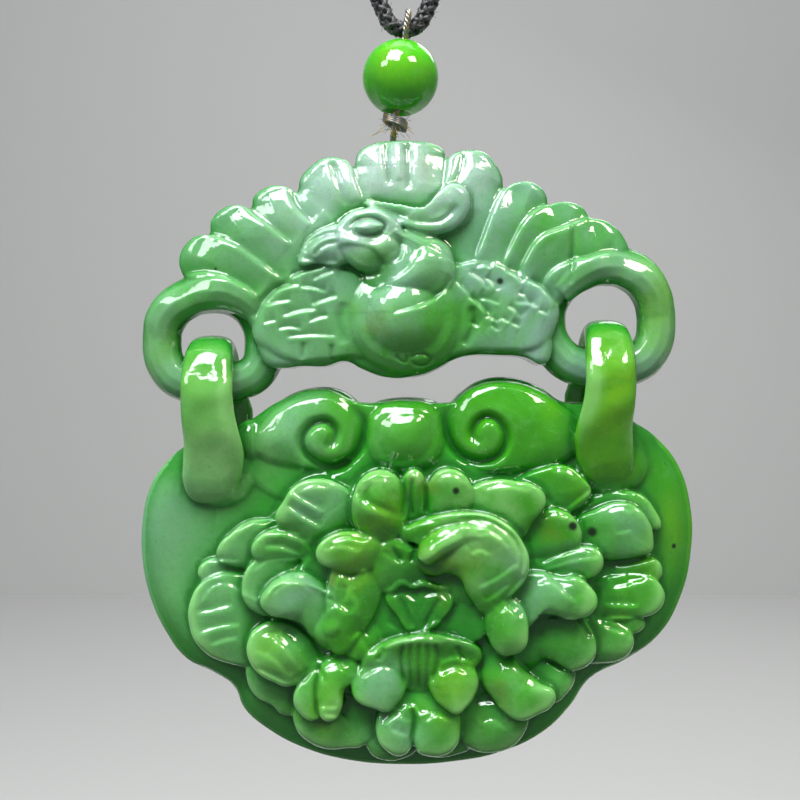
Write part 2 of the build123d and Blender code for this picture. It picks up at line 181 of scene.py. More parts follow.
def dome(across, down, relief, half_width, half_height, half_depth):
    """A rounded boss: a ball pressed to its width, height and depth."""
    bpy.ops.object.select_all(action="DESELECT")
    bpy.ops.mesh.primitive_uv_sphere_add(
        segments=40,
        ring_count=24,
        radius=1,
        location=spot(across, down, relief),
        scale=(half_width * PIXEL, half_depth, half_height * PIXEL),
    )
    return bpy.context.active_object


# How often the skin of a stone is polished, and how many triangles are left of it
POLISH_PASSES = 3
STONE_TRIANGLES = 190000


def fuse(name, forms, voxel):
    """Makes one polished skin of all the forms of a stone."""
    stone = join(forms)
    bpy.ops.object.transform_apply(location=True, rotation=True, scale=True)
    skin = stone.modifiers.new("skin", "REMESH")
    skin.mode = "VOXEL"
    skin.voxel_size = voxel
    bpy.ops.object.modifier_apply(modifier=skin.name)
    polish = stone.modifiers.new("polish", "SMOOTH")
    polish.factor = 0.5
    polish.iterations = POLISH_PASSES
    bpy.ops.object.modifier_apply(modifier=polish.name)
    rename(stone, name)
    return stone


def thin_out(stone, triangles):
    """Leaves as many triangles as the piece needs, then makes millimetres metres."""
    take(stone)
    mesh = stone.data
    mesh.calc_loop_triangles()
    share = triangles / len(mesh.loop_triangles)
    if share < 1:
        fewer = stone.modifiers.new("fewer", "DECIMATE")
        fewer.ratio = share
        bpy.ops.object.modifier_apply(modifier=fewer.name)
    in_metres(stone)


def read_places(mesh):
    """The places of the vertices of a mesh, one row each."""
    places = np.empty(len(mesh.vertices) * 3)
    mesh.vertices.foreach_get("co", places)
    return places.reshape(-1, 3)


def write_places(mesh, places):
    """Moves the vertices of a mesh to new places."""
    mesh.vertices.foreach_set("co", places.ravel())
    mesh.update()


def smooth_line(corners, relief, per_leg=6):
    """Points in millimetres on a smooth line through pixels, as (across, up) rows."""
    knots = np.array([(seen.x, seen.z) for seen in (spot(*corner, relief) for corner in corners)])
    padded = np.vstack((2 * knots[0] - knots[1], knots, 2 * knots[-1] - knots[-2]))
    rows = []
    for before, start, end, after in zip(padded, padded[1:], padded[2:], padded[3:]):
        for step in range(per_leg):
            share = step / per_leg
            rows.append(
                start
                + 0.5 * share * (end - before)
                + share ** 2 * (before - 2.5 * start + 2 * end - 0.5 * after)
                + share ** 3 * (1.5 * start - 0.5 * before - 1.5 * end + 0.5 * after)
            )
    rows.append(knots[-1])
    return np.array(rows)


# How deep behind the hinge plane the rounding of a slab's edge begins, and the height over which a
# stroke sets in above the lowest stone that it cuts, in millimetres
EDGE_DEPTH = 1.5
STROKE_RUN = 0.5

# A step's shares of its depth on its two sides, then in widths how soft its crest is, how far it
# fades out and how far it and the other strokes reach
STEP_UP = 0.4
STEP_DOWN = -0.6
STEP_CREST = 0.8
STEP_FADE = 3.0
STEP_REACH = 8.0
STROKE_REACH = 3.0

# How suddenly a stroke runs out at its two ends
STROKE_TAPER = 6


def engrave(stone, strokes, relief, lowest):
    """Cuts strokes into the front. A groove or ridge is round; a step raises the side right of its way."""
    places = read_places(stone.data)
    front = np.nonzero(places[:, 1] < EDGE_DEPTH)[0]
    flat = places[front][:, [0, 2]]
    height = -places[front, 1]
    firm = np.clip((height - lowest) / STROKE_RUN, 0, 1)
    soft = np.clip((height + EDGE_DEPTH) / (lowest + EDGE_DEPTH), 0, 1)
    push = np.zeros(len(flat))
    for kind, width, depth, corners in strokes:
        line = smooth_line(corners, relief)
        reach = (STEP_REACH if kind == "step" else STROKE_REACH) * width
        inside = np.all((flat > line.min(axis=0) - reach) & (flat < line.max(axis=0) + reach), axis=1)
        near = np.nonzero(inside)[0]
        points = flat[near]
        best = np.full(len(near), np.inf)
        side = np.zeros(len(near))
        gone = np.zeros(len(near))
        for leg, (start, end) in enumerate(zip(line, line[1:])):
            run = end - start
            share = np.clip((points - start) @ run / (run @ run), 0, 1)
            away = points - start - share[:, None] * run
            distance = np.linalg.norm(away, axis=1)
            closer = distance < best
            best[closer] = distance[closer]
            side[closer] = np.sign(run[1] * away[closer, 0] - run[0] * away[closer, 1])
            gone[closer] = (leg + share[closer]) / (len(line) - 1)
        if kind == "step":
            shape = np.where(side > 0, STEP_UP, STEP_DOWN) * np.tanh(best / (STEP_CREST * width))
            shape *= np.exp(-best / (STEP_FADE * width))
        else:
            shape = (1 if kind == "ridge" else -1) * np.exp(-((best / width) ** 2))
        fade = soft[near] if kind == "edge" else firm[near] * (1 - (2 * gone - 1) ** STROKE_TAPER)
        push[near] -= depth * fade * shape
    places[front, 1] += push
    write_places(stone.data, places)


# Waves of a hand-carved front: how many, their shortest and longest length in millimetres, how far
# and over what length they wander, their height as a share, and the height over which they set in
WAVES = 14
WAVE_LENGTHS = (2.4, 6.5)
WANDER = 0.8
WANDER_LENGTH = 2.3
WAVE_SHARE = 18
WAVE_RUN = 1.5


def wave(stone, amount, lowest):
    """Gives the front the gentle unevenness of hand carving, up to an amount in millimetres."""
    places = read_places(stone.data)
    rule = random.Random(11)
    wander = WANDER * np.sin(places[:, 2] / WANDER_LENGTH)
    height = np.zeros(len(places))
    for _ in range(WAVES):
        heading = rule.uniform(0, math.pi)
        length = rule.uniform(*WAVE_LENGTHS)
        shift = rule.uniform(0, 2 * math.pi)
        along = places[:, 0] * math.cos(heading) + places[:, 2] * math.sin(heading)
        height += np.sin(2 * math.pi * along / length + shift + wander) * length / WAVE_SHARE
    firm = np.clip((-places[:, 1] - lowest) / WAVE_RUN, 0, 1)
    places[:, 1] -= amount * firm * height
    write_places(stone.data, places)


# The hollows found here steer painted shade into deep places and grooves, and painted light onto standing
# edges.
# Hollows are found on a grid over the front: its cell in millimetres, the cells left free round it,
# the height where there is no stone, and how often the grid is smoothed for each mark
HOLLOW_CELL = 0.25
HOLLOW_MARGIN = 20
NO_STONE = -99.0
HOLLOW_MARKS = [
    ("crease", 5),
    ("lip", 24),
    ("sunk", 90),
]


def mark_hollows(stone):
    """Stores at each vertex how much deeper it lies than the stone close round it and farther round it."""
    mesh = stone.data
    places = read_places(mesh)
    height = -places[:, 1]
    flat = places[:, [0, 2]]
    cells = ((flat - flat.min(axis=0)) / HOLLOW_CELL).astype(int) + HOLLOW_MARGIN
    top = np.full(cells.max(axis=0) + 1 + HOLLOW_MARGIN, NO_STONE)
    np.maximum.at(top, (cells[:, 0], cells[:, 1]), height)
    known = (top > NO_STONE).astype(float)
    total = np.where(known > 0, top, 0)
    done = 0
    for mark, passes in HOLLOW_MARKS:
        for _ in range(passes - done):
            for axis in (0, 1):
                total = (np.roll(total, 1, axis) + total + np.roll(total, -1, axis)) / 3
                known = (np.roll(known, 1, axis) + known + np.roll(known, -1, axis)) / 3
        done = passes
        around = (total / np.maximum(known, 1e-6))[cells[:, 0], cells[:, 1]]
        hollow = np.where(places[:, 1] < 0, around - height, 0)
        mesh.attributes.new(mark, "FLOAT", "POINT").data.foreach_set("value", hollow.astype(np.float32))


class Value:
    """A number or colour that changes over a surface. Sums with it, such as 1 - mask, add Math nodes."""

    def __init__(self, finish, socket):
        self.finish = finish
        self.socket = socket

    def __add__(self, other):
        return self.finish.sum("ADD", self, other)

    def __sub__(self, other):
        return self.finish.sum("SUBTRACT", self, other)

    def __rsub__(self, other):
        return self.finish.sum("SUBTRACT", other, self)

    def __mul__(self, other):
        return self.finish.sum("MULTIPLY", self, other)

    __radd__ = __add__
    __rmul__ = __mul__


# Sockets of a Mix node that takes colours: how much, the first and the second colour, the result
MIX_SHARE = 0
MIX_FIRST = 6
MIX_SECOND = 7
MIX_RESULT = 2

# How far the borders of the placed zones of colour stray, in metres, and how fine they do
STRAY = 0.009
STRAY_SCALE = 210


class Finish:
    """The material of a piece, with its shader and the nodes that feed it."""

    def __init__(self, name):
        self.material = bpy.data.materials.new(name)
        self.material.use_nodes = True
        self.tree = self.material.node_tree
        self.shader = self.tree.nodes["Principled BSDF"]
        self.place = self.node("ShaderNodeTexCoord", out="Object")
        self.strayed = None

    def node(self, kind, settings=None, values=None, out=0):
        made = self.tree.nodes.new(kind)
        for name, value in (settings or {}).items():
            setattr(made, name, value)
        for name, value in (values or {}).items():
            if isinstance(value, Value):
                self.tree.links.new(value.socket, made.inputs[name])
            else:
                made.inputs[name].default_value = value
        return Value(self, made.outputs[out])

    def sum(self, operation, first, second):
        return self.node("ShaderNodeMath", {"operation": operation}, {0: first, 1: second})

    def noise(self, scale, detail=3.0, rough=0.5, warp=0.0):
        values = {"Scale": scale, "Detail": detail, "Roughness": rough, "Distortion": warp}
        return self.node("ShaderNodeTexNoise", values={"Vector": self.place, **values})

    def step(self, value, low, high):
        """Goes smoothly from 0 at the low value to 1 at the high one."""
        values = {"Value": value, "From Min": low, "From Max": high}
        return self.node("ShaderNodeMapRange", {"interpolation_type": "SMOOTHSTEP"}, values)

    def layer(self, noise, low, high):
        """Patches of noise that set in at the low value and are full at the high one."""
        return self.step(self.noise(*noise), low, high)

    def mark(self, name):
        """What is stored under a name at the vertices."""
        return self.node("ShaderNodeAttribute", {"attribute_name": name}, out="Fac")

    def stray(self):
        """The place on the surface, moved about by clouds; made once for each material."""
        if self.strayed is None:
            values = {"Vector": self.place, "Scale": STRAY_SCALE, "Detail": 4}
            clouds = self.node("ShaderNodeTexNoise", values=values, out="Color")
            values = {0: clouds, 1: (STRAY, STRAY, STRAY), 2: self.place}
            self.strayed = self.node("ShaderNodeVectorMath", {"operation": "MULTIPLY_ADD"}, values, "Vector")
        return self.strayed

    def near(self, point, radius, soft, strays=True):
        """A mask that is 1 at a point in millimetres and fades to 0 round it, along a border that strays."""
        middle = Vector(point) * MM
        place = self.place
        if strays:
            place = self.stray()
            middle += Vector((STRAY, STRAY, STRAY)) / 2
        away = self.node("ShaderNodeVectorMath", {"operation": "DISTANCE"}, {0: place, 1: middle}, "Value")
        return self.step(away, (radius + soft) * MM, (radius - soft) * MM)

    def blend(self, share, first, second):
        """Goes from the first colour to the second as the share grows."""
        first, second = (tint if isinstance(tint, Value) else (*tint, 1) for tint in (first, second))
        settings = {"data_type": "RGBA", "clamp_factor": True}
        values = {MIX_SHARE: share, MIX_FIRST: first, MIX_SECOND: second}
        return self.node("ShaderNodeMix", settings, values, MIX_RESULT)

    def feed(self, socket, value):
        self.tree.links.new(value.socket, self.shader.inputs[socket])

    def set(self, **values):
        for name, value in values.items():
            self.shader.inputs[name.replace("_", " ")].default_value = value


# Tints of the stones
CELADON = (0.15, 0.42, 0.15)
LEAF = (0.050, 0.33, 0.006)
# The deep green is the stone's own colour in fine veins, and painted shade in narrow grooves, round the
# heart of the flower and on the bead's lower sides.
DEEP_GREEN_AND_SHADE = (0.008, 0.15, 0.012)
# The vivid green is painted shade, laid in the hollows of the carving.
HOLLOW_SHADE = (0.020, 0.27, 0.018)
SPRING = (0.17, 0.44, 0.010)
MIST = (0.23, 0.43, 0.31)
# The frost tint is the milky tone of the stone and also painted sheen on the fan and the eye, and painted
# light on the bird's standing edges.
FROST_AND_SHEEN = (0.54, 0.67, 0.62)
MILK = (0.30, 0.56, 0.30)
STAIN = (0.17, 0.22, 0.02)
SHADE = (0.06, 0.24, 0.05)
# The rim tint is painted light: on edges that stand out, as if lit through, and on a few patches.
PAINTED_LIGHT = (0.30, 0.62, 0.22)
SPECK = (0.004, 0.012, 0.004)

# Noise in the stones: scale, detail, roughness and warp, then where it sets in and where it is full
CLOUDS = ((140, 4, 0.6, 0.8), 0.62, 0.78)
VEINS = ((420, 5, 0.65, 1.2), 0.35, 0.75)
POLISH = ((2600, 3), 0.3, 0.8)
CLOUD_SHARE = 0.75

# How strong a zone of colour is between the veins, how much stronger in them, and how strong a speck is
ZONE_GROUND = 0.75
ZONE_VEINS = 0.35
SPECK_SHARE = 0.95

# Roughness of the polished stone, and the slight waves left in it: noise, shares and depth in metres
SMOOTHEST = 0.03
ROUGHER = 0.06
RIPPLES = (450, 2)
RIPPLE_SHARE = 0.7
GRAIN = (1500, 2)
GRAIN_SHARE = 0.15
RIPPLE_DEPTH = 0.00013

# Fine layers over the zones of colour: their noise, where they set in and are full, share and tint
FINE_LAYERS = [
    ((650, 6, 0.75, 0.6), 0.48, 0.80, 0.18, MILK),
    ((1500, 5, 0.7, 2.0), 0.50, 0.75, 0.25, DEEP_GREEN_AND_SHADE),
    ((3600, 2, 0.6), 0.70, 0.76, 0.50, MILK),
]


def jade(name, pale, fresh, rim, zones, specks, fresh_share):
    """Polished jade: milky ground, fresher clouds, placed zones of colour, dark specks and a deep glow, with
    painted light on standing edges and painted shade in hollows and grooves.
    """
    stone = Finish(name)
    noise, low, high = CLOUDS
    clouds = stone.layer(noise, low - fresh_share, high - fresh_share)
    veins = stone.layer(*VEINS)
    colour = stone.blend(clouds * CLOUD_SHARE, pale, fresh)
    for tint, amount, across, down, relief, radius, soft in zones:
        mask = stone.near(spot(across, down, relief), radius, soft)
        colour = stone.blend(mask * amount * (veins * ZONE_VEINS + ZONE_GROUND), colour, tint)
    for noise, low, high, share, tint in FINE_LAYERS:
        colour = stone.blend(stone.layer(noise, low, high) * share, colour, tint)

    # Painted light and shade: edges that stand out are painted paler, as if lit through, deep places get a
    # painted saturated shade and narrow grooves a painted darker shade
    for mark, low, high, share, tint in (
        ("lip", -0.12, -0.80, 0.50, rim),
        ("sunk", -0.20, 1.10, 0.85, HOLLOW_SHADE),
        ("crease", 0.02, 0.40, 0.60, DEEP_GREEN_AND_SHADE),
    ):
        colour = stone.blend(stone.step(stone.mark(mark), low, high) * share, colour, tint)
    for across, down, relief, radius in specks:
        mask = stone.near(spot(across, down, relief), radius, 0.5 * radius, strays=False)
        colour = stone.blend(mask * SPECK_SHARE, colour, SPECK)
    stone.feed("Base Color", colour)
    stone.feed("Roughness", stone.layer(*POLISH) * ROUGHER + SMOOTHEST)
    relief = stone.noise(*RIPPLES) * RIPPLE_SHARE + stone.noise(*GRAIN) * GRAIN_SHARE
    bump = stone.node("ShaderNodeBump", values={"Height": relief, "Strength": 1.0, "Distance": RIPPLE_DEPTH})
    stone.feed("Normal", bump)
    stone.set(Subsurface_Weight=0.7, Subsurface_Radius=(0.40, 1.0, 0.30), Subsurface_Scale=0.0014, IOR=1.66)
    return stone.material


# The fan with the rounded ends of its nine feathers, and the low mound of the wings and the body on it
FAN = [
    (186, 281), (177, 268), (176, 254), (184, 240), (195, 233), (205, 233), (208, 218), (219, 206),
    (234, 202), (247, 206), (251, 194), (262, 185), (277, 182), (288, 186), (293, 190), (299, 174),
    (310, 162), (323, 154), (338, 154), (347, 158), (351, 164), (357, 149), (372, 140), (392, 137),
    (415, 137), (435, 140), (444, 146), (448, 154), (456, 149), (470, 146), (487, 149), (497, 160),
    (504, 174), (507, 186), (516, 180), (530, 178), (543, 184), (549, 193), (552, 203), (560, 200),
    (573, 199), (585, 204), (594, 215), (606, 217), (618, 224), (628, 236), (632, 250), (614, 268),
    (592, 284), (566, 298), (556, 312), (552, 330), (553, 350), (546, 364), (525, 357), (500, 355),
    (465, 356), (440, 366), (415, 376), (385, 377), (362, 369), (345, 361), (325, 366), (300, 366),
    (284, 368), (268, 366), (258, 352), (254, 335), (245, 318), (230, 304), (208, 293),
]
WINGS = [
    (252, 318), (262, 296), (282, 278), (310, 266), (345, 262), (400, 262), (455, 262), (490, 258),
    (520, 268), (545, 284), (560, 304), (556, 330), (545, 348), (515, 352), (480, 352), (440, 362),
    (400, 370), (350, 358), (315, 362), (285, 362), (264, 352), (252, 338),
]

# The bird: height, rim, swell and outline of each form
BIRD = [
    # the breast
    (4.3, 2.6, 1.5, [(400, 258), (435, 264), (460, 286), (470, 318), (462, 348), (438, 369), (405, 377),
        (374, 369), (350, 350), (340, 320), (344, 292), (366, 268)]),
    # the neck behind the head
    (4.5, 1.6, 0.7, [(362, 262), (378, 240), (400, 226), (426, 232), (446, 240), (455, 258), (456, 280),
        (440, 300), (412, 306), (386, 300), (364, 286)]),
    # the plume
    (4.0, 0.8, 0.5, [(364, 201), (384, 203), (405, 207), (422, 208), (435, 198), (443, 187), (453, 182),
        (465, 186), (471, 198), (468, 213), (458, 226), (440, 234), (422, 234), (405, 228), (388, 218),
        (370, 208)]),
    # the head from brow to cheek
    (4.7, 1.0, 0.5, [(334, 232), (340, 219), (354, 209), (372, 207), (390, 216), (403, 228), (408, 244),
        (400, 258), (384, 270), (364, 272), (348, 262), (338, 248)]),
    # the hooked beak
    (4.1, 0.9, 0.3, [(298, 263), (300, 250), (308, 237), (322, 228), (342, 222), (358, 228), (360, 246),
        (352, 262), (336, 266), (318, 263)]),
    # the eye
    (5.35, 0.3, 0.2, [(352, 229), (360, 223), (372, 222), (382, 227), (374, 234), (362, 235)]),
]

UPPER_BACK = -1.9
FAN_RELIEF = 2.9
WING_RELIEF = 3.3

# How far above the back of a slab the forms that stand on it begin
SUNK_FOOT = 0.6

# Side rings in pixels, as thick all round as the bar that carries the link
WIRE = 2.05
RINGS = [
    [(184, 381.5), (236, 381.5), (258, 370), (264, 345), (258, 318), (240, 300), (213, 294), (187, 300),
     (168, 318), (162, 342), (168, 368)],
    [(576, 366), (630, 366), (650, 350), (656, 322), (650, 294), (632, 274), (603, 266), (575, 274),
     (552, 296), (546, 322), (554, 348)],
]

# The tops of the rings, where they rise out of the lowest feathers: pixel, height of the middle, thickness
RING_TOPS = [
    [(162, 338, 0.0, 2.03), (166, 318, 0.4, 2.10), (186, 299, 0.9, 2.20), (213, 291, 1.3, 2.20),
        (240, 296, 1.5, 2.00), (258, 310, 1.5, 1.60)],
    [(656, 318, 0.0, 2.03), (651, 294, 0.4, 2.10), (633, 272, 0.9, 2.25), (605, 265, 1.3, 2.20),
        (578, 275, 1.5, 1.90), (558, 292, 1.5, 1.60)],
]

# Strokes of the gravers: kind, width and depth in millimetres, and the way from left to right or downward
UPPER_STROKES = [
    # the soft fall of the fan toward its outer edge
    ("edge", 2.6, 1.1, [(177, 268), (178, 248), (195, 231), (207, 225), (222, 203), (240, 200), (252, 192),
        (265, 181), (288, 182), (300, 168), (325, 151), (348, 155), (362, 141), (392, 134), (430, 136),
        (450, 147), (480, 144), (500, 160), (510, 182), (535, 176), (552, 196), (578, 197), (598, 214),
        (620, 224), (634, 245)]),
    # steps between the feathers; the lower feather stands higher, so its shoulder catches the light
    ("step", 0.42, 0.75, [(180, 275), (205, 272), (225, 276), (243, 285), (259, 296)]),
    ("step", 0.42, 0.80, [(204, 234), (222, 239), (240, 248), (262, 264), (283, 281)]),
    ("step", 0.46, 0.85, [(240, 204), (255, 216), (274, 230), (292, 245)]),
    ("step", 0.42, 0.80, [(286, 186), (292, 202), (301, 214), (312, 224)]),
    ("step", 0.36, 0.60, [(351, 160), (352, 172), (356, 185), (362, 199)]),
    ("step", 0.36, 0.60, [(445, 186), (448, 165), (448, 150)]),
    ("step", 0.40, 0.75, [(474, 263), (485, 233), (496, 204), (507, 184)]),
    ("step", 0.40, 0.75, [(503, 265), (515, 238), (529, 216), (548, 202)]),
    ("step", 0.40, 0.80, [(519, 277), (526, 258), (541, 237), (566, 226), (590, 216)]),
    ("step", 0.42, 0.80, [(541, 287), (553, 271), (572, 261), (592, 256), (620, 249)]),
    ("groove", 0.30, 0.25, [(574, 222), (573, 250), (570, 285)]),
    ("step", 0.35, 0.45, [(529, 280), (545, 289), (557, 305)]),
    # flutes of the three middle feathers
    ("groove", 0.45, 0.35, [(385, 138), (386, 160), (390, 185)]),
    ("groove", 0.55, 0.40, [(408, 138), (408, 160), (408, 190)]),
    ("ridge", 0.40, 0.20, [(397, 138), (398, 160), (399, 180)]),
    ("groove", 0.40, 0.20, [(330, 158), (338, 180), (346, 205)]),
    ("groove", 0.45, 0.25, [(464, 148), (462, 165), (455, 184)]),
    # folds of the plume and crest, and of the beak
    ("step", 0.30, 0.50, [(474, 206), (466, 222), (445, 236), (425, 237), (408, 230), (388, 218),
        (368, 206)]),
    ("groove", 0.35, 0.35, [(372, 205), (395, 214), (415, 222), (440, 222), (458, 206)]),
    ("ridge", 0.30, 0.25, [(368, 206), (388, 219), (411, 233)]),
    ("groove", 0.35, 0.30, [(304, 252), (312, 242), (326, 236), (343, 234)]),
    ("groove", 0.28, 0.22, [(314, 257), (324, 247), (340, 243)]),
    ("step", 0.35, 0.70, [(297, 260), (318, 264), (340, 265)]),
    ("groove", 0.35, 0.30, [(340, 266), (352, 270), (368, 276), (384, 272)]),
    ("step", 0.35, 0.45, [(398, 268), (384, 262), (372, 250), (352, 246), (336, 248)]),
    ("groove", 0.40, 0.35, [(392, 236), (400, 246), (398, 258), (388, 266)]),
    # round the eye
    ("groove", 0.28, 0.40, [(350, 229), (358, 222), (373, 220), (385, 227), (376, 236), (362, 236),
        (350, 230)]),
    ("step", 0.85, 1.10, [(334, 226), (344, 236), (358, 244), (372, 247), (384, 242), (394, 233)]),
    ("step", 0.60, 0.85, [(338, 226), (348, 216), (360, 211), (376, 211), (388, 218), (396, 228)]),
    ("step", 0.55, 0.70, [(366, 204), (388, 211), (410, 219), (432, 221), (452, 210)]),
    ("step", 1.00, 1.15, [(366, 297), (386, 287), (406, 275), (419, 258), (424, 248)]),
    ("step", 0.26, 0.55, [(392, 316), (410, 311), (430, 303), (446, 290), (453, 278)]),
    # round the breast
    ("groove", 0.50, 0.25, [(344, 302), (340, 322), (345, 344)]),
    ("groove", 0.45, 0.30, [(472, 306), (473, 326), (464, 346)]),
    # scales of the left wing
    ("step", 0.20, 0.49, [(289, 277), (304, 272), (322, 269)]),
    ("step", 0.21, 0.52, [(313, 281), (324, 276), (334, 272)]),
    ("step", 0.21, 0.52, [(272, 291), (286, 287), (300, 286)]),
    ("step", 0.20, 0.49, [(300, 287), (314, 289), (327, 293)]),
    ("step", 0.21, 0.49, [(265, 306), (278, 303), (292, 301)]),
    ("step", 0.23, 0.56, [(311, 306), (325, 301), (338, 297)]),
    ("step", 0.23, 0.56, [(282, 317), (300, 312), (318, 310)]),
    ("step", 0.18, 0.42, [(264, 324), (277, 321)]),
    ("step", 0.20, 0.49, [(309, 323), (319, 319), (329, 317)]),
    ("step", 0.18, 0.45, [(278, 330), (290, 328), (302, 330)]),
    ("step", 0.20, 0.45, [(286, 338), (312, 336), (337, 337)]),
    ("groove", 0.40, 0.25, [(252, 318), (262, 300), (276, 288), (292, 282)]),
    ("groove", 0.30, 0.20, [(304, 342), (302, 360)]),
    ("groove", 0.30, 0.20, [(332, 344), (332, 360)]),
    # scales of the right wing
    ("step", 0.20, 0.49, [(476, 268), (484, 266), (492, 269)]),
    ("step", 0.20, 0.49, [(468, 273), (480, 280), (486, 290)]),
    ("step", 0.20, 0.49, [(484, 279), (492, 284), (496, 292)]),
    ("step", 0.20, 0.49, [(505, 271), (514, 275), (522, 284)]),
    ("step", 0.20, 0.45, [(518, 293), (525, 298), (531, 306)]),
    ("step", 0.20, 0.49, [(526, 280), (540, 286), (549, 296), (557, 306)]),
    ("step", 0.20, 0.45, [(478, 299), (489, 301), (499, 305)]),
    ("step", 0.20, 0.49, [(468, 298), (480, 305), (490, 317)]),
    ("step", 0.20, 0.45, [(515, 303), (527, 304), (538, 308)]),
    ("step", 0.20, 0.45, [(507, 307), (514, 311), (520, 319)]),
    ("step", 0.18, 0.42, [(538, 311), (547, 315)]),
    ("step", 0.18, 0.42, [(470, 323), (478, 328)]),
    ("step", 0.20, 0.45, [(483, 318), (491, 319), (498, 323)]),
    ("step", 0.18, 0.42, [(490, 326), (498, 332)]),
    ("step", 0.18, 0.42, [(500, 319), (509, 323)]),
    ("step", 0.18, 0.42, [(510, 323), (519, 328)]),
    ("step", 0.20, 0.49, [(456, 282), (466, 292), (476, 304), (488, 316)]),
    # small marks at the foot of the breast
    ("groove", 0.18, 0.22, [(396, 355), (400, 360), (406, 362), (407, 355)]),
    ("groove", 0.18, 0.22, [(410, 360), (413, 356), (421, 354), (429, 357), (430, 361), (424, 365),
        (415, 364), (410, 360)]),
]

upper_forms = [
    carve(FAN, FAN_RELIEF, rim=0.9, swell=0.1, foot=UPPER_BACK),
    carve(WINGS, WING_RELIEF, rim=1.2, swell=0.3, foot=UPPER_BACK + SUNK_FOOT),
]
for relief, rim, swell, outline in BIRD:
    upper_forms.append(carve(outline, relief, rim, swell, UPPER_BACK + SUNK_FOOT))
for ring in RINGS:
    upper_forms.append(roll([(across, down, 0.0, WIRE) for across, down in ring], closed=True))
for route in RING_TOPS:
    upper_forms.append(roll(route))

upper = fuse("upper_plaque_stone", upper_forms, voxel=0.14)
wave(upper, amount=0.05, lowest=2.0)
engrave(upper, UPPER_STROKES, relief=3.0, lowest=1.4)
mark_hollows(upper)
thin_out(upper, STONE_TRIANGLES)

# Zones of colour: tint, amount, pixel, height, and radius and softness of the border in millimetres
UPPER_ZONES = [
    (CELADON, 0.9, 210, 290, 1.0, 10.0, 7.0),
    (SHADE, 0.35, 260, 250, 2.0, 6.0, 6.0),
    (CELADON, 0.8, 300, 320, 3.0, 5.0, 4.0),
    (CELADON, 0.7, 395, 318, 5.0, 5.0, 4.0),
    # painted light on the lower left of the breast, which faces down
    (PAINTED_LIGHT, 0.25, 385, 335, 5.0, 3.5, 3.0),
    (LEAF, 0.9, 452, 345, 4.0, 4.5, 4.0),
    (LEAF, 0.9, 390, 368, 3.0, 4.5, 3.5),
    (LEAF, 0.7, 436, 330, 5.0, 3.0, 3.0),
    (LEAF, 0.9, 366, 260, 4.5, 1.8, 1.6),
    (CELADON, 0.8, 430, 238, 4.0, 2.5, 2.0),
    (LEAF, 0.75, 578, 245, 2.0, 4.0, 3.5),
    (CELADON, 0.9, 640, 310, 0.0, 6.0, 4.0),
    (SPRING, 0.55, 648, 330, 0.0, 3.5, 3.0),
    (SPRING, 0.45, 166, 345, 0.0, 3.5, 3.0),
    (SHADE, 0.35, 165, 320, 0.0, 4.0, 4.0),
    (LEAF, 0.6, 215, 285, 0.5, 3.5, 3.0),
    (LEAF, 0.8, 262, 392, 0.0, 2.5, 2.0),
    (LEAF, 0.5, 595, 390, 0.0, 3.0, 2.5),
    # painted sheen, with the milky tone of the stone, on the tops of the fan's feathers
    (FROST_AND_SHEEN, 0.90, 405, 162, 3.0, 4.0, 3.5),
    (FROST_AND_SHEEN, 0.60, 355, 168, 3.0, 3.0, 3.0),
    (FROST_AND_SHEEN, 0.35, 300, 200, 3.0, 4.0, 4.0),
    (FROST_AND_SHEEN, 0.50, 470, 165, 3.0, 3.0, 3.0),
    (LEAF, 0.50, 530, 240, 2.5, 4.0, 3.5),
    # painted highlight beside the eye
    (FROST_AND_SHEEN, 0.40, 360, 228, 5.0, 2.5, 2.5),
    (SPRING, 0.70, 655, 285, 0.0, 3.0, 3.0),
    (STAIN, 0.5, 368, 325, 5.0, 1.2, 1.0),
    (STAIN, 0.4, 420, 165, 3.0, 1.4, 1.2),
]

# Dark specks: pixel, height and radius
UPPER_SPECKS = [
    (500, 281, 3.4, 0.35),
    (636, 293, 0.6, 0.45),
    (216, 269, 2.4, 0.2),
]

# The frost tint on the bird's standing edges is painted light.
bird_jade = jade("jade_of_the_bird", MIST, CELADON, FROST_AND_SHEEN, UPPER_ZONES, UPPER_SPECKS, fresh_share=0.14)
upper.data.materials.append(bird_jade)
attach(upper, "hanger")
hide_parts("upper_plaque")


# Lower plaque: a lobed slab of greener jade with a peony in high relief between two cloud scrolls.
# Petals, scrolls and the two links are cut from one stone, the links round the bars of the upper
# plaque, so that the two plaques swing on each other and can't be parted.
LOWER_BACK = -3.2
LOWER_FACE = 1.1
HEART = (415, 600)
LOWER_PLATE = [
    (183, 446), (162, 464), (146, 490), (139, 522), (139, 562), (147, 600), (163, 635), (184, 662),
    (212, 676), (232, 690), (242, 712), (266, 733), (302, 752), (350, 765), (405, 769), (455, 766),
    (500, 757), (545, 736), (572, 710), (592, 682), (630, 662), (662, 638), (684, 600), (695, 552),
    (694, 505), (682, 466), (662, 440), (640, 424), (600, 404), (565, 402), (540, 386), (510, 377),
    (480, 380), (460, 393), (447, 404), (430, 399), (405, 397), (380, 400), (364, 406), (353, 397),
    (335, 388), (315, 387), (292, 393), (268, 408), (240, 424), (210, 430),
]

# Low mounds that fill the flower under its petals: height and outline
MOUNDS = [
    (1.8, [(230, 600), (245, 540), (290, 500), (350, 480), (420, 470), (500, 478), (570, 490), (625, 520),
        (640, 570), (625, 620), (590, 660), (540, 700), (470, 735), (400, 745), (320, 730), (265, 690),
        (238, 650)]),
    (1.5, [(222, 442), (250, 420), (280, 400), (320, 388), (360, 402), (405, 399), (450, 402), (510, 380),
        (560, 402), (596, 430), (592, 470), (560, 500), (480, 512), (400, 510), (310, 510), (250, 490)]),
    (2.7, [(275, 600), (285, 560), (320, 520), (370, 496), (430, 486), (500, 496), (555, 530), (580, 580),
        (570, 630), (535, 670), (480, 700), (410, 708), (340, 695), (295, 655)]),
]

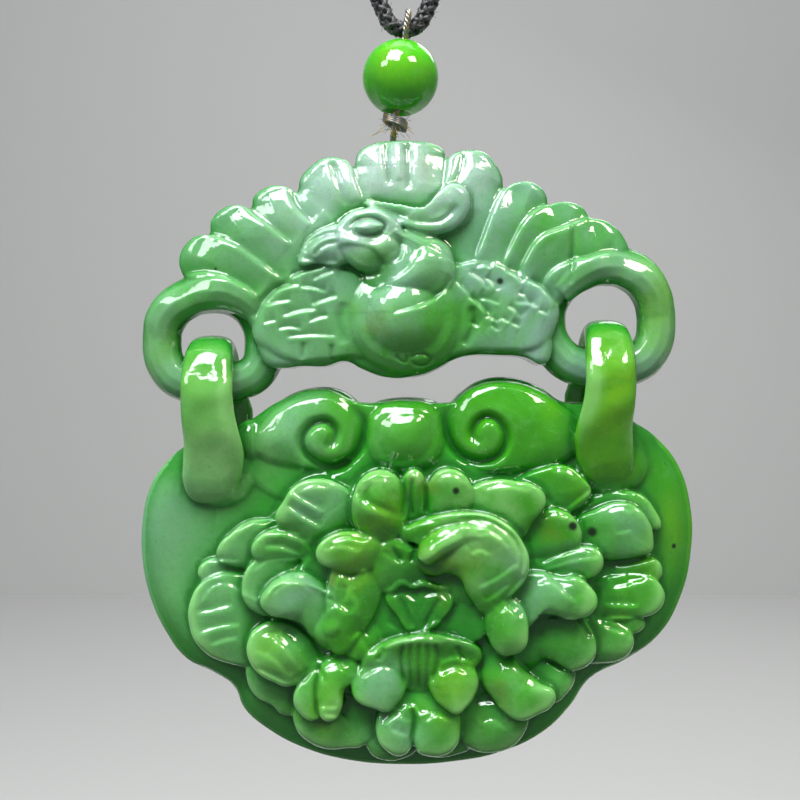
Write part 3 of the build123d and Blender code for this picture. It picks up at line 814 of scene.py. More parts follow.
# Petals from the rim of the flower inward: height, rim, swell, then the outline in pixels
PETALS = [
    (2.3, 0.9, 0.5, [(272, 540), (272, 522), (256, 518), (243, 523), (231, 533), (219, 545), (217, 558),
        (230, 566), (252, 564), (268, 556)]),
    (2.0, 0.8, 0.4, [(246, 570), (224, 558), (207, 560), (198, 572), (206, 584), (232, 590)]),
    (2.5, 1.0, 0.7, [(250, 588), (224, 574), (204, 580), (191, 600), (190, 625), (201, 648), (221, 662),
        (246, 668), (264, 650), (268, 612)]),
    (1.9, 0.7, 0.3, [(250, 660), (247, 680), (256, 696), (272, 705), (283, 715), (298, 717), (312, 700),
        (292, 680), (268, 668)]),
    (2.3, 0.9, 0.5, [(294, 708), (296, 728), (308, 742), (327, 750), (346, 749), (363, 747), (374, 733),
        (368, 710), (340, 698), (312, 698)]),
    (2.0, 0.8, 0.4, [(366, 738), (369, 753), (386, 762), (404, 760), (416, 752), (413, 733), (390, 722)]),
    (2.0, 0.8, 0.4, [(414, 733), (418, 753), (436, 759), (456, 756), (472, 748), (478, 730), (446, 722)]),
    (2.5, 0.9, 0.6, [(450, 722), (457, 741), (472, 751), (492, 754), (512, 748), (525, 733), (528, 714),
        (506, 698), (472, 700)]),
    (2.2, 0.8, 0.4, [(546, 658), (574, 672), (575, 682), (567, 694), (554, 704), (538, 700), (530, 678)]),
    (2.2, 0.9, 0.5, [(590, 616), (612, 620), (632, 634), (633, 648), (623, 660), (605, 665), (588, 662),
        (583, 640)]),
    (1.9, 0.7, 0.3, [(596, 608), (620, 610), (642, 617), (644, 627), (631, 634), (606, 630)]),
    (2.6, 0.9, 0.5, [(606, 584), (626, 577), (650, 576), (662, 587), (664, 600), (656, 612), (640, 618),
        (614, 620), (596, 606)]),
    (2.2, 0.8, 0.4, [(615, 563), (640, 555), (656, 559), (662, 568), (659, 579), (640, 582), (612, 586)]),
    (2.2, 0.8, 0.3, [(596, 502), (618, 489), (638, 493), (653, 507), (658, 530), (642, 520), (615, 515)]),
    (3.0, 1.0, 0.8, [(582, 540), (590, 517), (605, 507), (622, 502), (637, 507), (648, 520), (653, 537),
        (651, 552), (638, 557), (613, 556), (592, 552)]),
    (2.6, 0.9, 0.6, [(528, 478), (549, 467), (568, 466), (583, 478), (591, 491), (586, 502), (570, 511),
        (552, 510), (538, 498)]),
    (3.2, 0.9, 0.6, [(311, 552), (286, 552), (262, 556), (247, 568), (242, 584), (244, 600), (254, 612),
        (268, 618), (292, 612), (320, 588)]),
    (3.3, 0.9, 0.5, [(268, 531), (286, 527), (306, 531), (320, 541), (322, 556), (302, 562), (276, 562),
        (258, 562), (251, 550), (257, 538)]),
    (3.5, 1.0, 0.8, [(275, 520), (284, 500), (293, 487), (312, 479), (334, 482), (350, 494), (356, 512),
        (342, 530), (316, 541), (291, 536)]),
    (2.9, 1.0, 0.8, [(540, 612), (527, 638), (525, 655), (540, 660), (556, 664), (571, 671), (584, 668),
        (594, 657), (596, 643), (589, 625), (575, 608)]),
    (3.9, 1.2, 1.2, [(256, 628), (247, 643), (248, 658), (258, 673), (274, 683), (287, 688), (302, 680),
        (314, 664), (309, 648), (298, 636), (280, 626)]),
    (3.6, 1.0, 0.6, [(318, 664), (300, 682), (293, 698), (299, 713), (315, 721), (324, 705), (330, 680)]),
    (4.1, 1.1, 0.8, [(322, 664), (316, 685), (317, 705), (322, 719), (334, 720), (342, 709), (343, 694),
        (352, 686), (356, 672), (342, 660)]),
    (4.0, 1.2, 0.9, [(366, 668), (384, 660), (400, 665), (406, 682), (404, 697), (397, 706), (388, 713),
        (374, 709), (357, 702), (351, 690), (356, 674)]),
    (3.6, 1.2, 0.9, [(408, 706), (390, 711), (378, 722), (376, 736), (386, 751), (400, 757), (412, 748),
        (416, 728)]),
    (3.7, 1.2, 0.9, [(412, 710), (412, 732), (417, 752), (428, 757), (442, 757), (456, 748), (461, 730),
        (456, 715), (440, 708), (424, 706)]),
    (4.2, 1.2, 1.0, [(436, 670), (454, 662), (470, 668), (479, 680), (476, 695), (467, 707), (456, 715),
        (444, 709), (434, 700), (430, 685)]),
    (3.9, 1.2, 1.0, [(483, 674), (497, 658), (514, 659), (527, 673), (541, 684), (555, 692), (553, 705),
        (539, 714), (520, 721), (505, 714), (495, 702), (486, 690)]),
    (3.5, 0.9, 0.5, [(536, 517), (553, 509), (569, 513), (579, 525), (582, 540), (575, 551), (550, 553),
        (528, 552), (526, 532)]),
    (3.6, 0.8, 0.5, [(538, 562), (556, 553), (576, 547), (597, 549), (603, 560), (600, 571), (590, 579),
        (566, 578), (544, 576)]),
    (4.2, 1.1, 0.9, [(474, 486), (494, 480), (515, 481), (536, 486), (546, 498), (543, 510), (534, 522),
        (526, 538), (508, 532), (490, 518), (474, 510), (470, 496)]),
    (4.0, 1.1, 0.9, [(426, 500), (431, 480), (441, 470), (456, 470), (469, 480), (474, 494), (473, 508),
        (462, 516), (444, 518), (428, 516)]),
    (3.6, 0.9, 0.6, [(401, 486), (408, 471), (418, 470), (426, 482), (428, 500), (422, 518), (404, 518)]),
    (4.0, 0.9, 0.8, [(336, 566), (352, 570), (370, 558), (376, 580), (374, 602), (365, 622), (355, 643),
        (342, 656), (330, 650), (326, 620), (328, 584)]),
    (4.3, 1.1, 0.8, [(260, 602), (266, 588), (280, 577), (299, 573), (318, 586), (336, 598), (336, 616),
        (323, 634), (311, 642), (300, 625), (286, 619), (270, 615)]),
    (4.2, 2.0, 1.2, [(315, 622), (324, 605), (340, 598), (353, 610), (355, 630), (346, 646), (331, 653),
        (318, 646), (312, 633)]),
    (3.3, 1.0, 0.7, [(348, 638), (360, 628), (372, 636), (377, 650), (368, 659), (351, 659), (342, 650)]),
    (4.7, 1.0, 0.7, [(316, 550), (328, 537), (350, 532), (372, 537), (380, 546), (374, 558), (363, 568),
        (348, 572), (330, 569), (318, 562)]),
    (4.6, 1.1, 0.9, [(504, 600), (515, 586), (530, 576), (546, 573), (562, 578), (578, 577), (590, 586),
        (597, 599), (592, 612), (580, 619), (568, 620), (554, 616), (543, 618), (534, 632), (524, 628)]),
    (4.9, 1.1, 1.0, [(505, 599), (517, 601), (526, 614), (529, 632), (525, 649), (514, 656), (501, 656),
        (494, 640), (492, 622), (497, 607)]),
    (4.8, 1.8, 1.6, [(360, 480), (374, 471), (390, 472), (401, 482), (406, 500), (405, 520), (399, 537),
        (386, 543), (368, 539), (354, 527), (351, 506), (354, 492)]),
    (4.7, 1.1, 0.8, [(402, 531), (416, 521), (440, 515), (470, 512), (500, 519), (521, 539), (529, 566),
        (521, 587), (506, 602), (491, 612), (480, 602), (472, 590), (465, 577), (454, 570), (438, 573),
        (425, 567), (418, 552), (422, 541), (410, 536)]),
    (3.6, 0.7, 0.3, [(372, 560), (382, 545), (400, 540), (416, 548), (424, 565), (410, 580), (388, 586),
        (374, 580)]),
    (3.3, 0.9, 0.3, [(436, 574), (462, 568), (484, 584), (494, 604), (470, 606), (448, 596)]),
    (3.1, 0.7, 0.3, [(455, 600), (470, 600), (484, 616), (486, 632), (474, 642), (458, 636), (446, 622)]),
    (3.2, 0.6, 0.4, [(386, 594), (404, 592), (420, 602), (418, 618), (411, 632), (398, 618)]),
    (3.3, 0.6, 0.4, [(420, 594), (440, 590), (453, 600), (444, 618), (430, 630), (412, 633), (422, 614)]),
]

# The arched petal in front of the heart: it falls away from the heart, between two others
ARCH = [
    (360, 672), (366, 656), (384, 643), (404, 636), (428, 633), (452, 637), (472, 643), (482, 652),
    (480, 664), (466, 676), (446, 690), (432, 695), (418, 697), (402, 692), (384, 686), (368, 680),
]
ARCH_RELIEF = 3.7
ARCH_LEAN = (0.0, 0.26)

# Humps along the top edge: height, rim, swell and outline
HUMPS = [
    (2.5, 1.6, 1.0, [(362, 430), (370, 412), (386, 402), (408, 400), (430, 403), (442, 414), (448, 432),
        (444, 456), (426, 472), (402, 476), (378, 470), (366, 452)]),
    (2.2, 1.6, 0.6, [(240, 446), (256, 424), (278, 405), (305, 394), (332, 392), (351, 402), (362, 420),
        (362, 444), (350, 464), (322, 474), (288, 470), (258, 462)]),
    (2.4, 1.6, 0.6, [(449, 424), (456, 402), (475, 386), (508, 381), (538, 389), (562, 404), (584, 420),
        (588, 446), (565, 466), (525, 474), (482, 474), (456, 456)]),
]

# The thick petal that curls round the heart, and the frilled rim in the heart
FLOWER_ROLLS = [
    [(424, 560, 4.3, 0.9), (431, 550, 4.6, 1.3), (446, 540, 4.6, 1.4), (470, 532, 4.4, 1.4),
        (494, 540, 4.3, 1.4), (510, 562, 4.2, 1.2), (506, 584, 4.1, 0.9), (495, 602, 4.0, 0.5)],
    [(385, 591, 3.1, 0.25), (392, 590, 3.3, 0.30), (401, 583, 3.4, 0.35), (412, 587, 3.3, 0.25),
        (424, 584, 3.4, 0.35), (438, 588, 3.3, 0.30), (450, 589, 3.1, 0.25)],
]

# Strokes of the gravers in the lower plaque
LOWER_STROKES = [
    # the soft fall of the slab toward its edge
    ("edge", 1.5, 0.8, [(160, 462), (142, 495), (137, 540), (144, 595), (163, 640), (192, 672), (230, 692),
        (242, 716), (270, 740), (320, 760), (370, 770), (430, 770), (490, 762), (545, 740), (575, 712),
        (596, 684), (640, 662), (670, 632), (692, 582), (697, 530), (690, 485), (668, 445)]),
    # the spirals of the two scrolls
    ("groove", 0.50, 0.85, [(352, 404), (364, 424), (358, 450), (340, 465), (318, 464), (304, 452),
        (302, 437), (311, 425), (325, 422), (334, 431), (332, 443), (323, 447)]),
    ("groove", 0.50, 0.85, [(450, 402), (446, 424), (453, 446), (468, 459), (486, 462), (502, 453),
        (507, 436), (499, 421), (487, 417), (477, 424), (474, 436), (481, 445)]),
    ("groove", 0.60, 0.40, [(350, 462), (330, 472), (300, 472)]),
    # folds whose upper slope catches the light, and streaks, from the left round to the right
    ("step", 0.32, 0.55, [(288, 489), (304, 500), (324, 512)]),
    ("step", 0.32, 0.60, [(287, 505), (302, 516), (322, 528)]),
    ("step", 0.30, 0.55, [(264, 533), (284, 533), (308, 543)]),
    ("step", 0.30, 0.55, [(264, 547), (282, 548), (301, 556)]),
    ("step", 0.26, 0.35, [(242, 528), (254, 522), (270, 525)]),
    ("step", 0.28, 0.45, [(208, 578), (224, 574), (242, 575)]),
    ("step", 0.26, 0.30, [(190, 563), (208, 561), (240, 563)]),
    ("step", 0.30, 0.45, [(196, 614), (214, 611), (232, 606)]),
    ("step", 0.30, 0.45, [(198, 634), (218, 628), (240, 625)]),
    ("step", 0.26, 0.35, [(210, 646), (224, 641), (238, 639)]),
    ("step", 0.30, 0.45, [(283, 580), (304, 581), (332, 593)]),
    ("groove", 0.30, 0.30, [(300, 560), (292, 576)]),
    ("step", 0.70, 0.80, [(280, 634), (297, 648), (310, 668)]),
    ("step", 0.28, 0.40, [(268, 632), (290, 650), (304, 674)]),
    ("step", 0.30, 0.30, [(256, 648), (276, 658), (290, 676)]),
    ("step", 0.28, 0.45, [(358, 630), (364, 644), (372, 656)]),
    ("step", 0.26, 0.35, [(352, 590), (360, 604), (362, 618)]),
    ("step", 0.28, 0.40, [(330, 541), (350, 536), (370, 541)]),
    ("step", 0.28, 0.35, [(324, 549), (342, 544), (362, 550)]),
    ("groove", 0.35, 0.45, [(320, 664), (316, 690), (318, 718)]),
    ("groove", 0.28, 0.30, [(404, 642), (401, 660), (405, 688)]),
    ("groove", 0.24, 0.22, [(411, 640), (410, 662), (412, 690)]),
    ("groove", 0.24, 0.25, [(419, 640), (419, 664), (420, 692)]),
    ("groove", 0.24, 0.22, [(427, 641), (428, 660), (426, 690)]),
    ("groove", 0.28, 0.30, [(434, 642), (438, 658), (432, 682)]),
    ("groove", 0.28, 0.25, [(384, 647), (378, 660)]),
    ("groove", 0.28, 0.25, [(456, 645), (464, 660)]),
    ("groove", 0.30, 0.45, [(413, 708), (415, 722), (412, 738), (415, 752)]),
    ("step", 0.30, 0.55, [(544, 575), (556, 584), (573, 600)]),
    ("step", 0.28, 0.50, [(540, 566), (556, 558), (578, 550)]),
    ("step", 0.26, 0.40, [(544, 569), (558, 565), (572, 560), (600, 555)]),
    ("step", 0.26, 0.35, [(552, 574), (568, 572), (586, 579)]),
    ("step", 0.30, 0.55, [(616, 570), (634, 567), (655, 560)]),
    ("step", 0.30, 0.55, [(614, 590), (630, 586), (650, 579)]),
    ("step", 0.28, 0.45, [(606, 606), (622, 606), (640, 606)]),
    ("step", 0.26, 0.40, [(602, 622), (620, 619), (643, 621)]),
    ("step", 0.28, 0.50, [(600, 626), (612, 631), (628, 636)]),
    ("step", 0.28, 0.50, [(578, 517), (586, 509), (599, 500)]),
    ("step", 0.26, 0.45, [(567, 511), (574, 505), (584, 497), (592, 490)]),
    ("step", 0.26, 0.40, [(543, 500), (556, 508), (576, 523)]),
    ("step", 0.24, 0.25, [(616, 534), (632, 530)]),
    ("step", 0.30, 0.45, [(524, 476), (538, 469), (556, 464)]),
    ("groove", 0.28, 0.35, [(579, 616), (584, 628), (592, 638)]),
    ("groove", 0.28, 0.30, [(545, 659), (567, 673)]),
    ("step", 0.28, 0.40, [(440, 662), (456, 657), (474, 664)]),
    ("step", 0.28, 0.35, [(502, 662), (516, 664), (530, 678)]),
    ("step", 0.26, 0.40, [(502, 598), (508, 606), (518, 617)]),
    ("step", 0.28, 0.45, [(501, 601), (512, 588), (524, 574)]),
    ("ridge", 0.30, 0.25, [(265, 599), (275, 585), (295, 579), (318, 586), (334, 597)]),
    ("step", 0.26, 0.35, [(328, 600), (340, 604), (352, 612)]),
    ("step", 0.24, 0.35, [(333, 600), (335, 586)]),
    ("step", 0.24, 0.35, [(345, 602), (349, 584)]),
    ("groove", 0.28, 0.28, [(392, 546), (402, 562)]),
    ("groove", 0.28, 0.28, [(410, 562), (416, 550)]),
    ("step", 0.80, 0.75, [(422, 558), (431, 546), (446, 536), (462, 531)]),
    ("step", 0.24, 0.20, [(444, 562), (452, 550), (466, 541)]),
    ("step", 0.24, 0.30, [(446, 530), (466, 522), (488, 524)]),
    ("step", 0.24, 0.30, [(474, 533), (492, 532), (508, 546)]),
    ("step", 0.45, 0.45, [(466, 530), (484, 527), (500, 538)]),
    ("step", 0.24, 0.30, [(470, 552), (478, 548), (490, 553)]),
    ("groove", 0.40, 0.25, [(372, 480), (367, 490), (370, 501), (384, 508), (402, 514)]),
    ("step", 0.60, 0.60, [(355, 492), (362, 500), (374, 505), (392, 512)]),
    ("step", 0.26, 0.40, [(364, 480), (376, 473), (390, 475)]),
    ("groove", 0.30, 0.40, [(402, 478), (404, 498), (403, 518)]),
    ("groove", 0.26, 0.30, [(413, 476), (411, 498), (412, 516)]),
    ("groove", 0.30, 0.35, [(424, 480), (427, 500), (426, 514)]),
    ("step", 0.60, 1.00, [(260, 602), (268, 588), (281, 577), (296, 570), (313, 556)]),
    ("step", 0.26, 0.45, [(401, 528), (418, 523), (440, 521)]),
    ("step", 0.30, 0.40, [(382, 551), (394, 560), (404, 562)]),
    ("step", 0.26, 0.35, [(386, 624), (400, 632), (414, 640)]),
    ("step", 0.26, 0.35, [(418, 634), (432, 624), (440, 618)]),
    ("step", 0.30, 0.45, [(372, 655), (394, 641), (420, 636), (446, 640)]),
    ("step", 0.30, 0.40, [(322, 668), (334, 662), (350, 668)]),
    ("step", 0.26, 0.40, [(396, 712), (410, 706), (424, 714)]),
    ("step", 0.26, 0.35, [(384, 724), (396, 716), (410, 722)]),
    ("step", 0.26, 0.40, [(424, 722), (438, 714), (452, 722)]),
    ("step", 0.26, 0.35, [(480, 726), (494, 722), (508, 732)]),
    ("step", 0.26, 0.35, [(324, 712), (340, 716), (352, 728)]),
    ("step", 0.24, 0.30, [(476, 586), (492, 578), (504, 570), (516, 560)]),
    ("step", 0.24, 0.30, [(484, 600), (496, 592), (508, 582)]),
    ("groove", 0.24, 0.30, [(456, 518), (484, 518), (508, 532), (520, 552), (519, 574)]),
    ("groove", 0.30, 0.35, [(400, 596), (412, 628)]),
    ("groove", 0.30, 0.30, [(440, 598), (424, 628)]),
]

# The links: middle and height of the bar in pixels, and half the width
LINKS = [
    (213, 381.5, 2.65),
    (604, 366.0, 2.55),
]

# A link from its tongue over the bar to its rear foot: depth, height, shares of the thickness and width
LINK_ROUTE = [
    (-1.20, -12.6, 0.10, 0.40), (-1.40, -12.2, 0.55, 0.74), (-1.75, -11.3, 0.85, 1.00),
    (-2.30, -9.6, 1.00, 1.16), (-3.00, -7.6, 1.00, 1.18), (-3.75, -5.4, 1.00, 1.08),
    (-4.25, -3.4, 1.00, 1.02), (-4.40, -1.6, 1.00, 1.00), (-4.15, -0.2, 1.00, 1.00),
    (-3.60, 1.00, 1.00, 0.99), (-2.85, 2.35, 1.00, 0.95), (-1.40, 3.45, 1.00, 0.88),
    (0.0, 3.725, 1.00, 0.83), (1.30, 3.50, 1.00, 0.84), (2.63, 2.63, 1.00, 0.88), (3.50, 1.30, 1.00, 0.93),
    (3.725, 0.0, 1.00, 0.97), (3.725, -4.6, 1.00, 1.00), (3.10, -6.8, 1.00, 1.00),
    (2.00, -9.0, 0.90, 0.90), (1.20, -10.0, 0.40, 0.60),
]
LINK_HALF_THICK = 1.12
LINK_SIDES = 24
LINK_FINENESS = 6
LINK_SOFTENING = 5

# How square the section of a link is across its width and through its thickness; 1 is an oval
LINK_SQUARE_ACROSS = 0.75
LINK_SQUARE_THROUGH = 0.85

# How far the legs of a link step toward the middle of the plaque: the front one where it flares,
# the rear one below the bar
FRONT_SHIFT = 0.55
FLARE_AT = -7.0
FLARE_RUN = 3
REAR_SHIFT = 1.1
REAR_SHIFT_FROM = 0.5
REAR_SHIFT_RUN = 3.5


def squared(share, power):
    """A sine or cosine drawn out toward a square."""
    return np.sign(share) * np.abs(share) ** power


def link(across, down, half_width):
    """A round-edged strap bent over the bar, as a ring of oval sections joined one to the next."""
    middle = spot(across, down, 0)
    route = np.array(LINK_ROUTE)
    stations = np.linspace(0, len(route) - 1, LINK_FINENESS * len(route))
    depth, height, thick, wide = (np.interp(stations, range(len(route)), column) for column in route.T)
    soft = np.ones(LINK_SOFTENING) / LINK_SOFTENING
    depth[2:-2] = np.convolve(depth, soft, "valid")
    height[2:-2] = np.convolve(height, soft, "valid")
    heading = np.stack((np.gradient(depth), np.gradient(height)), axis=1)
    heading /= np.linalg.norm(heading, axis=1)[:, None]
    turn = np.arange(LINK_SIDES) * 2 * math.pi / LINK_SIDES
    aside = squared(np.cos(turn), LINK_SQUARE_ACROSS)
    out = squared(np.sin(turn), LINK_SQUARE_THROUGH)
    corners = []
    for row in range(len(stations)):
        if depth[row] < 0:
            aslant = FRONT_SHIFT * math.exp(-((height[row] - FLARE_AT) / FLARE_RUN) ** 2)
        else:
            aslant = REAR_SHIFT * min(1, max(0, (REAR_SHIFT_FROM - height[row]) / REAR_SHIFT_RUN))
        shift = math.copysign(aslant, -middle.x)
        for side, up in zip(aside, out):
            corners.append((
                middle.x + shift + half_width * wide[row] * side,
                depth[row] - heading[row, 1] * LINK_HALF_THICK * thick[row] * up,
                middle.z + height[row] + heading[row, 0] * LINK_HALF_THICK * thick[row] * up,
            ))
    faces = [list(range(LINK_SIDES))[::-1], list(range(len(corners) - LINK_SIDES, len(corners)))]
    for row in range(len(stations) - 1):
        for side in range(LINK_SIDES):
            following = (side + 1) % LINK_SIDES
            first = row * LINK_SIDES
            second = first + LINK_SIDES
            faces.append([first + side, first + following, second + following, second + side])
    mesh = bpy.data.meshes.new("link")
    mesh.from_pydata(corners, [], faces)
    strap = take(add("link", mesh))
    bpy.ops.object.mode_set(mode="EDIT")
    bpy.ops.mesh.select_all(action="SELECT")
    bpy.ops.mesh.normals_make_consistent(inside=False)
    bpy.ops.object.mode_set(mode="OBJECT")
    return strap


# Swellings of the slab under the links' tongues: pixel, height, half sizes in pixels and depth
LINK_BEDS = [
    (226, 472, 0.6, 36, 34, 1.5),
    (219, 478, 0.8, 38, 29, 1.7),
    (250, 442, 0.6, 18, 22, 1.6),
    (612, 462, 0.6, 36, 38, 1.5),
    (610, 466, 0.8, 38, 31, 1.8),
    (578, 434, 0.6, 18, 24, 1.6),
]

# How far the roots of low, middle and high petals run in under the next ones, and how far behind
# the middle of a petal its root is fully drawn in, in pixels
ROOTS = [
    (2.75, 26),
    (3.75, 18),
    (9.0, 7),
]
ROOT_RUN = 12

# Petals stand in the mounds; their rims and swells are shares of those listed, and they lean outward
MOUND_FOOT = -0.5
PETAL_FOOT = 0.3
PETAL_RIM = 0.62
PETAL_SWELL = 0.5
PETAL_LEAN = 0.23


def rooted(outline, relief):
    """A petal's outline with its inner side drawn toward the heart of the flower, and the way outward."""
    total = Vector((sum(across for across, _ in outline), sum(down for _, down in outline)))
    middle = total / len(outline)
    outward = (middle - Vector(HEART)).normalized()
    reach = next(reach for height, reach in ROOTS if relief < height)
    drawn = []
    for corner in outline:
        behind = max(0, -(Vector(corner) - middle).dot(outward))
        drawn.append(Vector(corner) - outward * reach * min(1, behind / ROOT_RUN))
    return drawn, Vector((outward.x, -outward.y))


lower_forms = [carve(LOWER_PLATE, LOWER_FACE, rim=1.3, swell=0.2, foot=LOWER_BACK)]
for relief, outline in MOUNDS:
    lower_forms.append(carve(outline, relief, rim=1.2, swell=0.2, foot=MOUND_FOOT))
for relief, rim, swell, outline in HUMPS:
    lower_forms.append(carve(outline, relief, rim, swell, MOUND_FOOT))
for bed in LINK_BEDS:
    lower_forms.append(dome(*bed))
for relief, rim, swell, outline in PETALS:
    drawn, outward = rooted(outline, relief)
    lean = outward * PETAL_LEAN
    lower_forms.append(carve(drawn, relief, PETAL_RIM * rim, PETAL_SWELL * swell, PETAL_FOOT, lean))
lower_forms.append(carve(ARCH, ARCH_RELIEF, rim=0.5, swell=0.3, foot=PETAL_FOOT, lean=ARCH_LEAN))
for route in FLOWER_ROLLS:
    lower_forms.append(roll(route))
for place in LINKS:
    lower_forms.append(link(*place))

# The lit line inside the upper rim of a petal: how far in it runs, the steepest rim it follows, and
# its width and depth
LIP_INSET = 0.24
LIP_STEEPEST = 0.45
LIP_WIDTH = 0.24
LIP_DEPTH = 0.32


def lit_lips(petals):
    """Strokes along the upper rims of petals, from left to right, so that the stone below stands higher."""
    strokes = []
    for petal in petals:
        outline = [Vector(corner) for corner in petal[3]]
        middle = sum(outline, Vector((0, 0))) / len(outline)
        upper_rim = [corner for corner in outline if (middle - corner).normalized().y > LIP_STEEPEST]
        upper_rim.sort(key=lambda corner: corner.x)
        if len(upper_rim) > 1:
            lip = [tuple(corner.lerp(middle, LIP_INSET)) for corner in upper_rim]
            strokes.append(("step", LIP_WIDTH, LIP_DEPTH, lip))
    return strokes


lower = fuse("lower_plaque_stone", lower_forms, voxel=0.15)
wave(lower, amount=0.08, lowest=1.2)
engrave(lower, LOWER_STROKES + lit_lips(PETALS), relief=3.5, lowest=1.0)
mark_hollows(lower)
thin_out(lower, STONE_TRIANGLES)

PEONY_GROUND = (0.10, 0.39, 0.07)
LOWER_ZONES = [
    (MIST, 0.75, 165, 540, 1.0, 7.0, 5.0),
    (SHADE, 0.35, 175, 560, 1.0, 6.0, 5.0),
    (CELADON, 0.9, 225, 620, 1.5, 8.0, 6.0),
    (CELADON, 0.8, 205, 440, 3.0, 8.0, 5.0),
    (MIST, 0.5, 290, 425, 2.0, 3.5, 3.0),
    (SHADE, 0.8, 250, 730, 0.0, 5.0, 4.0),
    (SHADE, 0.8, 330, 760, 0.0, 5.0, 4.0),
    (SHADE, 0.7, 450, 765, 0.0, 6.0, 4.0),
    (SHADE, 0.6, 190, 665, 0.0, 4.0, 3.0),
    (LEAF, 0.95, 500, 430, 2.0, 7.0, 4.0),
    (LEAF, 0.95, 640, 520, 1.0, 12.0, 7.0),
    (LEAF, 0.95, 600, 430, 3.0, 6.5, 4.0),
    (SPRING, 0.9, 610, 380, 4.0, 4.0, 3.5),
    (SPRING, 0.6, 668, 530, 1.0, 3.5, 3.0),
    (LEAF, 0.95, 480, 580, 4.0, 10.0, 6.0),
    (LEAF, 0.9, 345, 640, 4.0, 5.0, 4.0),
    (SPRING, 0.6, 378, 525, 5.0, 2.5, 2.0),
    (SPRING, 0.4, 206, 415, 4.0, 6.0, 4.0),
    # painted light on the left link's tongue, which faces down
    (PAINTED_LIGHT, 0.75, 214, 462, 3.2, 4.5, 3.0),
    (SPRING, 0.5, 603, 440, 3.4, 4.0, 3.0),
    (SPRING, 0.7, 345, 560, 5.0, 2.2, 1.8),
    (SPRING, 0.8, 450, 565, 5.0, 2.2, 1.8),
    # painted highlight on the curled petal
    (PAINTED_LIGHT, 0.75, 488, 538, 5.0, 4.0, 2.6),
    (SPRING, 0.6, 440, 556, 5.0, 1.8, 1.6),
    (MIST, 0.7, 512, 570, 4.5, 2.2, 2.2),
    (MIST, 0.6, 300, 600, 4.5, 3.0, 2.5),
    (MIST, 0.5, 320, 500, 4.0, 2.5, 2.5),
    (MIST, 0.5, 545, 590, 4.5, 3.0, 2.5),
    (MIST, 0.5, 625, 520, 3.5, 2.5, 2.5),
    (MIST, 0.5, 585, 560, 4.0, 1.6, 1.4),
    (MIST, 0.6, 380, 685, 4.5, 2.2, 2.0),
    (MIST, 0.6, 400, 730, 4.0, 2.2, 2.0),
    # painted shade in the heart of the flower and two hollows beside it
    (DEEP_GREEN_AND_SHADE, 0.9, 420, 600, 3.0, 4.5, 3.5),
    (DEEP_GREEN_AND_SHADE, 0.8, 470, 615, 2.5, 2.8, 2.0),
    (DEEP_GREEN_AND_SHADE, 0.6, 565, 645, 2.5, 3.0, 2.5),
    (SPRING, 0.6, 452, 690, 4.0, 2.5, 2.0),
    (SPRING, 0.5, 268, 650, 3.5, 2.2, 2.0),
    (SPRING, 0.5, 325, 705, 3.5, 2.2, 2.0),
    (STAIN, 0.55, 332, 578, 4.5, 1.0, 0.9),
    (STAIN, 0.50, 436, 478, 4.0, 1.3, 1.2),
    (STAIN, 0.45, 556, 530, 3.5, 1.3, 1.2),
    (STAIN, 0.45, 500, 690, 4.0, 1.3, 1.2),
    (STAIN, 0.35, 610, 615, 2.5, 1.0, 1.0),
]
LOWER_SPECKS = [
    (281, 501, 3.0, 0.60),
    (456, 491, 4.6, 0.35),
    (573, 526, 4.1, 0.45),
    (592, 532, 2.8, 0.50),
    (250, 651, 2.8, 0.3),
    (156, 485, 0.9, 0.25),
    (674, 546, 0.9, 0.25),
]

# The rim tint on the peony's standing edges is painted light.
peony_jade = jade("jade_of_the_peony", PEONY_GROUND, LEAF, PAINTED_LIGHT, LOWER_ZONES, LOWER_SPECKS, fresh_share=0.18)
lower.data.materials.append(peony_jade)
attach(lower, "drop")
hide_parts("lower_plaque")


# Bead: a round bead of the freshest green, drilled through, that lies on the thread above the plaque.
# It was turned and polished like glass, and leans a little with the thread.
BEAD_MIDDLE = Vector((-0.45, 0.0, -242.25))
BEAD_RADIUS = 3.95
BEAD_BORE = 1.4
THREAD_LEAN = math.radians(7)

bpy.ops.object.select_all(action="DESELECT")
bpy.ops.mesh.primitive_uv_sphere_add(segments=96, ring_count=64, radius=BEAD_RADIUS)
bead = bpy.context.active_object
bpy.ops.object.mode_set(mode="EDIT")
bpy.ops.mesh.select_all(action="DESELECT")
bpy.ops.object.mode_set(mode="OBJECT")
for vertex in bead.data.vertices:
    vertex.select = math.hypot(vertex.co.x, vertex.co.y) < BEAD_BORE
bpy.ops.object.mode_set(mode="EDIT")
bpy.ops.mesh.select_mode(type="VERT")
bpy.ops.mesh.delete(type="VERT")
bpy.ops.mesh.select_all(action="DESELECT")
bpy.ops.mesh.select_non_manifold()
bpy.ops.mesh.bridge_edge_loops()
bpy.ops.mesh.select_all(action="SELECT")
bpy.ops.mesh.normals_make_consistent(inside=False)
bpy.ops.object.mode_set(mode="OBJECT")
rename(bead, "bead_stone")
bead.rotation_euler = (0, THREAD_LEAN, 0)
bead.location = BEAD_MIDDLE
bpy.ops.object.transform_apply(location=True, rotation=True)
take(bead)
in_metres(bead)

BEAD_GROUND = (0.085, 0.54, 0.008)
BEAD_CLOUD = (0.060, 0.42, 0.006)
BEAD_ZONES = [
    # painted shade on the bead's lower sides
    (DEEP_GREEN_AND_SHADE, 0.5, 375, 95, 2.0, 2.2, 2.0),
    (DEEP_GREEN_AND_SHADE, 0.6, 430, 105, 2.0, 2.2, 2.0),
    (SPRING, 0.6, 400, 72, 3.5, 2.5, 2.0),
]

bead_jade = jade("jade_of_the_bead", BEAD_GROUND, BEAD_CLOUD, PAINTED_LIGHT, BEAD_ZONES, [], fresh_share=0.14)
bead.data.materials.append(bead_jade)
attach(bead, "hanger")
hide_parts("bead")


